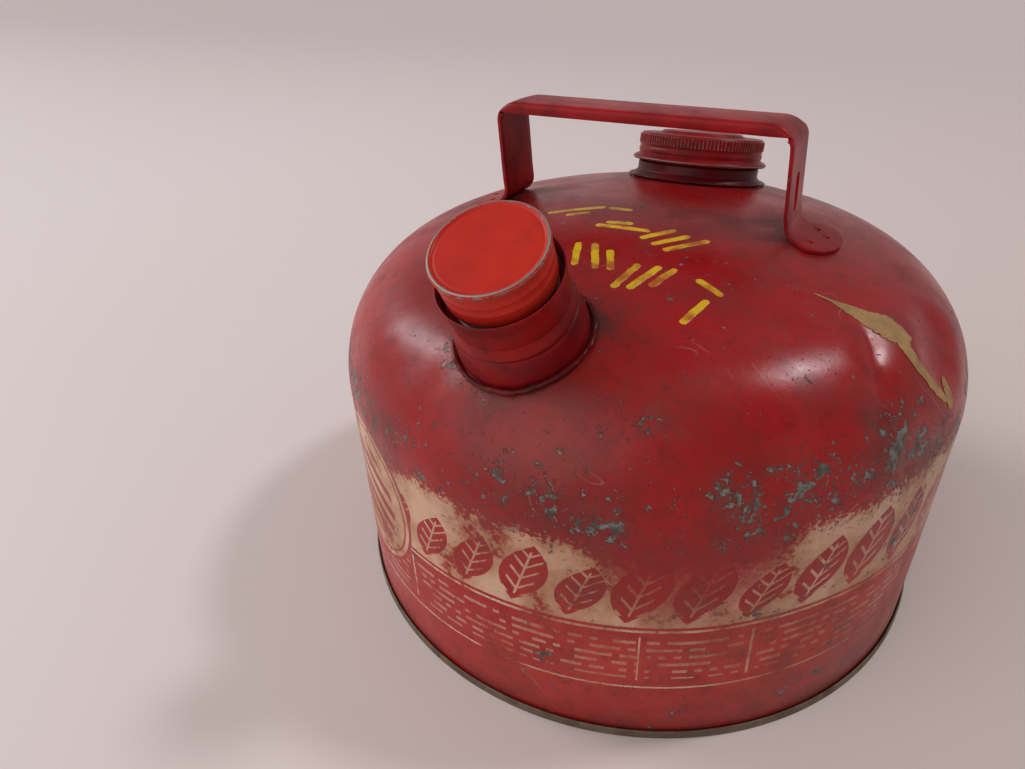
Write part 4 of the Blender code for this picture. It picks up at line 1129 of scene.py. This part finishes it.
hand_over(lid, lid_enamel, "filler_lid", "red_paint", "filler_cap")

# %% [markdown]
# ## Spout neck, ring and cap
# The spout's neck is a wide collar cut to the dome's curve. A solid with the dome's own outline cuts
# its foot, so the joint follows the curve. The ring clamps the stored spout, and its lip stands proud
# of the cap with a dark gap between them. The cap is a flat disc inside a rolled rim.

# %% Spout neck
NECK_FOOT, NECK_MOUTH_R = 0.0248, 0.0206
NECK_SHOULDER, NECK_MOUTH = 0.0163, 0.0240
NECK_BELOW = -0.008
collar_outline = thread(NECK_MOUTH_R, NECK_MOUTH, NECK_SHOULDER) + [
    (NECK_FOOT - 0.0020, NECK_SHOULDER),
    (NECK_FOOT - 0.0012, NECK_SHOULDER - SHEET),
    (NECK_FOOT, 0.0060),
    (NECK_FOOT, 0.0),
    (NECK_FOOT - 0.0006, NECK_BELOW),
    (NECK_FOOT - 2 * SHEET, NECK_BELOW),
    (NECK_FOOT - SHEET, 0.0),
    (NECK_FOOT - SHEET, 0.0060),
    (NECK_FOOT - 0.0022, NECK_SHOULDER - SHEET),
    (NECK_MOUTH_R - SHEET, NECK_SHOULDER - SHEET),
    (NECK_MOUTH_R - SHEET, NECK_MOUTH),
    (NECK_MOUTH_R, NECK_MOUTH),
]
collar = turned("spout_neck_collar", eased(collar_outline, 0.0006), 128)
lay_on(collar, SPOUT)
over_dome = arc(0.0, CROWN_CENTRE_Z, CROWN_RADIUS + STRAP_GAP, 0.0, CROWN_ANGLE, 30)
over_dome += arc(KNUCKLE_CENTRE_R, WALL_TOP_Z, KNUCKLE_RADIUS + STRAP_GAP, CROWN_ANGLE, math.pi / 2, 24)[1:]
dome_tool = turned("dome_tool", over_dome + [(0.0, WALL_TOP_Z)], 256)
cut_away(collar, dome_tool)
hand_over(collar, neck_enamel, "can", "red_paint", "spout_neck")

# %% Spout ring
RING_R, RING_BARREL, RING_BORE, RING_BOTTOM, RING_LIP = 0.0230, 0.0223, 0.0214, 0.0167, 0.0353
RING_HEM_R, RING_SHOULDER, RING_SHOULDER_BORE = 0.0234, 0.0276, 0.0192
ring_outline = [
    (RING_BORE, RING_BOTTOM + 0.002),
    (RING_BORE, RING_SHOULDER),
    (RING_SHOULDER_BORE, RING_SHOULDER),
    (RING_SHOULDER_BORE, RING_SHOULDER + 0.0012),
    (RING_BARREL - 0.0008, RING_SHOULDER + 0.0012),
    (RING_BARREL - 0.0007, RING_LIP - 0.0030),
    (RING_R - 0.0006, RING_LIP),
    (RING_R, RING_LIP),
    (RING_R - 0.0001, RING_LIP - 0.0012),
    (RING_BARREL, RING_LIP - 0.0060),
    (RING_BARREL - 0.0002, RING_BOTTOM + 0.0062),
    (RING_BARREL - 0.0005, RING_BOTTOM + 0.0052),
    (RING_BARREL, RING_BOTTOM + 0.0042),
    (RING_HEM_R - 0.0002, RING_BOTTOM + 0.0022),
    (RING_HEM_R, RING_BOTTOM + 0.0008),
    (RING_HEM_R - 0.0004, RING_BOTTOM),
    (RING_BORE, RING_BOTTOM),
    (RING_BORE, RING_BOTTOM + 0.002),
]
ring = turned("spout_ring_pressed", eased(ring_outline, 0.0005), 160)
lay_on(ring, SPOUT)
hand_over(ring, ring_enamel, "clamp_ring", "red_paint", "spout_ring")

# %% Spout cap
LID_R, LID_SKIRT, LID_BORE, LID_TOP, LID_BOTTOM = 0.0210, 0.0201, 0.0193, 0.0486, 0.0325
cap_outline = [
    (0.0, LID_TOP - 0.0005),
    (LID_R - 0.0030, LID_TOP - 0.0006),
    (LID_R - 0.0022, LID_TOP - 0.0008),
    (LID_R - 0.0014, LID_TOP - 0.0001),
    (LID_R - 0.0006, LID_TOP),
    (LID_R, LID_TOP - 0.0007),
    (LID_R, LID_TOP - 0.0018),
    (LID_SKIRT, LID_TOP - 0.0024),
    (LID_SKIRT, 0.0434),
    (LID_SKIRT + 0.0003, 0.0419),
    (LID_SKIRT, 0.0404),
    (LID_SKIRT, 0.0389),
    (LID_SKIRT + 0.0002, 0.0378),
    (LID_SKIRT, 0.0367),
    (LID_SKIRT, LID_BOTTOM),
    (LID_BORE, LID_BOTTOM),
    (LID_BORE, LID_TOP - 0.0014),
    (0.0, LID_TOP - 0.0014),
]
spout_cap = turned("spout_cap_pressed", eased(cap_outline, 0.0004), 160)
lay_on(spout_cap, SPOUT)
hand_over(spout_cap, cap_enamel, "mouth_cap", "orange_paint", "spout_cap")

# %% [markdown]
# ## Solder
# Solder round a neck is a lumpy fillet. It starts as a torus of the right size, each point is moved
# along the neck's axis to where the dome is, and noise swells it here and there. It was painted with
# the can, and only on the front left of the spout has the paint come off its bright lumps. Its red is
# made far darker than the can's: partly grime, partly painted shade in the corner between neck and dome.


# %% Solder runs
def height_over_dome(matrix, radius, angle_round, outset):
    """Height along a neck's axis at which a line beside it meets the dome."""
    low, high = -0.02, 0.02
    for _ in range(24):
        middle = (low + high) / 2
        point = matrix @ Vector((radius * math.cos(angle_round), radius * math.sin(angle_round), middle))
        if point.z > dome_z(math.hypot(point.x, point.y), outset):
            high = middle
        else:
            low = middle
    return middle


SILVER_AT = [math.radians(a) for a in (206, 212, 221, 229, 236, 248, 262, 286)]


def solder_run(name, matrix, foot_radius, bead_radius, lump):
    """A torus that lies in the corner between a neck and the dome."""
    bpy.ops.object.select_all(action="DESELECT")
    run_radius = foot_radius + STRAP_GAP + bead_radius
    bpy.ops.mesh.primitive_torus_add(
        major_radius=run_radius, minor_radius=bead_radius, major_segments=240, minor_segments=12
    )
    run = bpy.context.object
    run.name = run.data.name = name
    for vertex in run.data.vertices:
        round_angle = math.atan2(vertex.co.y, vertex.co.x)
        swell = 1.0 + lump * (noise.noise(vertex.co * 180.0) + 0.6 * noise.noise(vertex.co * 420.0) - 0.45)
        outward = vertex.co.xy.length - run_radius
        vertex.co.x += math.cos(round_angle) * outward * (swell - 1.0)
        vertex.co.y += math.sin(round_angle) * outward * (swell - 1.0)
        vertex.co.z *= swell * 0.7
        vertex.co.z += height_over_dome(matrix, run_radius, round_angle, bead_radius + STRAP_GAP)
    lay_on(run, matrix)
    return run


# The solder's very dark red is partly grime and partly painted shade in the corner where the neck meets the dome.
solder_paint_and_shade = enamel("solder_under_paint_and_shade", (0.14, 0.005, 0.006), (0.04, 0.006, 0.006), worn_from=2.0, grime_and_shade=0.9, speck=0.80, gloss=0.26)
spout_run = solder_run("spout_solder_run", SPOUT, NECK_FOOT, 0.0013, 0.55)
SILVER_SPOTS = [(SPOUT @ Vector((0.026 * math.cos(a), 0.026 * math.sin(a), 0.001)), 3.2, 0.42) for a in SILVER_AT]
store_patches(spout_run, "silver", [], SILVER_SPOTS)
hand_over(spout_run, solder_paint_and_shade, "can", "solder", "spout_neck_solder")
filler_run = solder_run("filler_solder_run", FILLER, FILLER_FLANGE, 0.0009, 0.4)
hand_over(filler_run, solder_paint_and_shade, "can", "solder", "filler_neck_solder")

# %% [markdown]
# ## The stored spout
# Unscrewed, the spout pulls out of the can. Its ferrule has the thread that the cap screws on and a
# flange that the ring clamps. Below hangs a hose of convoluted zinc-plated steel, with one wave every
# few millimetres, and a plain nozzle. The waves are one outline worked out in a loop.

# %% Ferrule
FLANGE_BOTTOM, FLANGE_TOP, FLANGE_R = 0.0261, 0.0273, 0.0208
FERRULE_R, FERRULE_TOP = 0.0182, 0.0454
SPIGOT_R, SPIGOT_BOTTOM = 0.0087, 0.0120
ferrule_outline = thread(FERRULE_R, FERRULE_TOP, FLANGE_TOP) + [
    (FLANGE_R, FLANGE_TOP),
    (FLANGE_R, FLANGE_BOTTOM),
    (SPIGOT_R, FLANGE_BOTTOM),
    (SPIGOT_R, SPIGOT_BOTTOM),
    (SPIGOT_R - SHEET, SPIGOT_BOTTOM),
    (SPIGOT_R - SHEET, FLANGE_TOP),
    (FERRULE_R - 0.0010, FLANGE_TOP),
    (FERRULE_R - 0.0010, FERRULE_TOP),
    (FERRULE_R, FERRULE_TOP),
]
ferrule = turned("spout_ferrule_threaded", eased(ferrule_outline, 0.0003), 128)
lay_on(ferrule, SPOUT)
hand_over(ferrule, galvanised, "stored_spout", "galvanised", "spout_ferrule")

# %% Hose and nozzle
HOSE_R, HOSE_WAVE, HOSE_BOTTOM, HOSE_CUFF = 0.0100, 0.0007, -0.1380, 0.0138
WAVES = 38
hose_top = FLANGE_BOTTOM - STRAP_GAP
wave_top, wave_bottom = hose_top - HOSE_CUFF, HOSE_BOTTOM + HOSE_CUFF
pitch = (wave_top - wave_bottom) / WAVES
hose_side = [(HOSE_R, hose_top)]
for step in range(WAVES * 6 + 1):
    swing = 0.5 + 0.5 * math.cos(math.tau * step / 6)
    hose_side.append((HOSE_R - HOSE_WAVE * (1 - swing), wave_top - pitch * step / 6))
hose_side.append((HOSE_R, HOSE_BOTTOM))
hose_outline = hose_side + [(r - SHEET * 0.95, h) for r, h in reversed(hose_side)] + hose_side[:1]
hose = turned("spout_hose_waved", hose_outline, 48)
lay_on(hose, SPOUT)
hand_over(hose, galvanised, "stored_spout", "galvanised", "spout_hose")
TIP_BOTTOM = -0.1500
tip_top = HOSE_BOTTOM + HOSE_CUFF - 0.002
tip_r = HOSE_R - 0.0008 - SHEET - STRAP_GAP
tip_outline = [(tip_r, tip_top), (tip_r, TIP_BOTTOM), (tip_r - SHEET, TIP_BOTTOM), (tip_r - SHEET, tip_top), (tip_r, tip_top)]
nozzle = turned("spout_nozzle", eased(tip_outline, 0.0003), 64)
lay_on(nozzle, SPOUT)
hand_over(nozzle, galvanised, "stored_spout", "galvanised", "spout_tip")

# %% [markdown]
# ## Washers, sealant and strainer
# These keep their working shapes, which are already true, and get the rubber and zinc finishes.

# %% Finishes on the frame's own pieces
for name in ("seam_sealant", "filler_cap_gasket", "spout_flange_gasket", "spout_cap_gasket"):
    frame["nodes"][name].data.materials.clear()
    frame["nodes"][name].data.materials.append(rubber)
frame["nodes"]["spout_strainer"].data.materials.clear()
frame["nodes"]["spout_strainer"].data.materials.append(galvanised)
print("rubber on the washers and the sealant, zinc on the strainer")

# %% [markdown]
# ## The scrap of tape
# A strip of old paper tape still sticks to the right shoulder. It is a grid laid along a bent
# centreline whose width changes and whose sides waver, so that they look torn. Shrinkwrap presses it onto the dented body.

# %% Tape
TAPE_LINES = [
    [(0.0800, -0.0338, 0.5), (0.0870, -0.0340, 1.6), (0.0930, -0.0345, 5.5), (0.1000, -0.0345, 8.5),
     (0.1070, -0.0335, 12.0), (0.1115, -0.0335, 11.0), (0.1140, -0.0365, 5.5), (0.1200, -0.0390, 5.0),
     (0.1260, -0.0375, 5.5), (0.1305, -0.0345, 4.0), (0.1330, -0.0325, 1.0)],
    [(0.1338, -0.0335, 1.0), (0.1335, -0.0305, 3.6), (0.1325, -0.0275, 3.4), (0.1312, -0.0248, 0.8)],
]


def tape_row(line, share, across_steps):
    """One row of points across the tape, at a share of its length."""
    spot = share * (len(line) - 1)
    index = min(int(spot), len(line) - 2)
    first, second = Vector(line[index]), Vector(line[index + 1])
    centre = first.lerp(second, spot - index)
    along = Vector((second.x - first.x, second.y - first.y)).normalized()
    points = []
    for i in range(across_steps + 1):
        side = i / across_steps * 2 - 1
        torn = 1.0 + 0.22 * noise.noise(Vector((centre.x * 900.0, centre.y * 900.0, side * 3.0)))
        reach = side * centre.z / 2000 * torn
        spot_x, spot_y = centre.x - along.y * reach, centre.y + along.x * reach
        points.append((spot_x, spot_y, dome_z(math.hypot(spot_x, spot_y)) + 0.0004))
    return points


tapes = []
for line in TAPE_LINES:
    long_steps, across_steps = 14 * len(line), 8
    bpy.ops.object.select_all(action="DESELECT")
    bpy.ops.mesh.primitive_grid_add(x_subdivisions=across_steps, y_subdivisions=long_steps, size=1.0)
    strip = bpy.context.object
    spots = [p for i in range(long_steps + 1) for p in tape_row(line, i / long_steps, across_steps)]
    for vertex, point in zip(strip.data.vertices, spots):
        vertex.co = point
    use_modifier(strip, "SHRINKWRAP", target=body, wrap_method="NEAREST_SURFACEPOINT", wrap_mode="ABOVE_SURFACE", offset=0.00012)
    tapes.append(strip)
select_only(tapes[0])
tapes[1].select_set(True)
bpy.ops.object.join()
tape = bpy.context.object
tape.name = tape.data.name = "tape_scrap"
select_only(tape)
bpy.ops.object.mode_set(mode="EDIT")
bpy.ops.mesh.select_all(action="SELECT")
bpy.ops.mesh.normals_make_consistent(inside=False)
bpy.ops.object.mode_set(mode="OBJECT")
if max(tape.data.polygons, key=lambda face: face.area).normal.z < 0:
    bpy.ops.object.mode_set(mode="EDIT")
    bpy.ops.mesh.flip_normals()
    bpy.ops.object.mode_set(mode="OBJECT")
use_modifier(tape, "SOLIDIFY", thickness=0.00012, offset=1.0)
tape_finish, tree, shader = new_finish("old_paper_tape")
place, x, y, z = object_place(tree)
crepe = mottle(tree, place, 900.0, 3.0, 0.6)
tan = blend(tree, ease(tree, mottle(tree, place, 120.0, 5.0, 0.6), 0.35, 0.7), (0.46, 0.27, 0.085), (0.30, 0.165, 0.055))
feed(tree, shader.inputs["Base Color"], blend(tree, calc(tree, "MULTIPLY", crepe, 0.3), tan, (0.16, 0.07, 0.03)))
shader.inputs["Roughness"].default_value = 0.62
emboss(tree, shader, crepe, 0.0002)
tape.data.materials.clear()
tape.data.materials.append(tape_finish)
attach(tape, "can")
print("tape_scrap", len(tape.data.polygons), "faces")
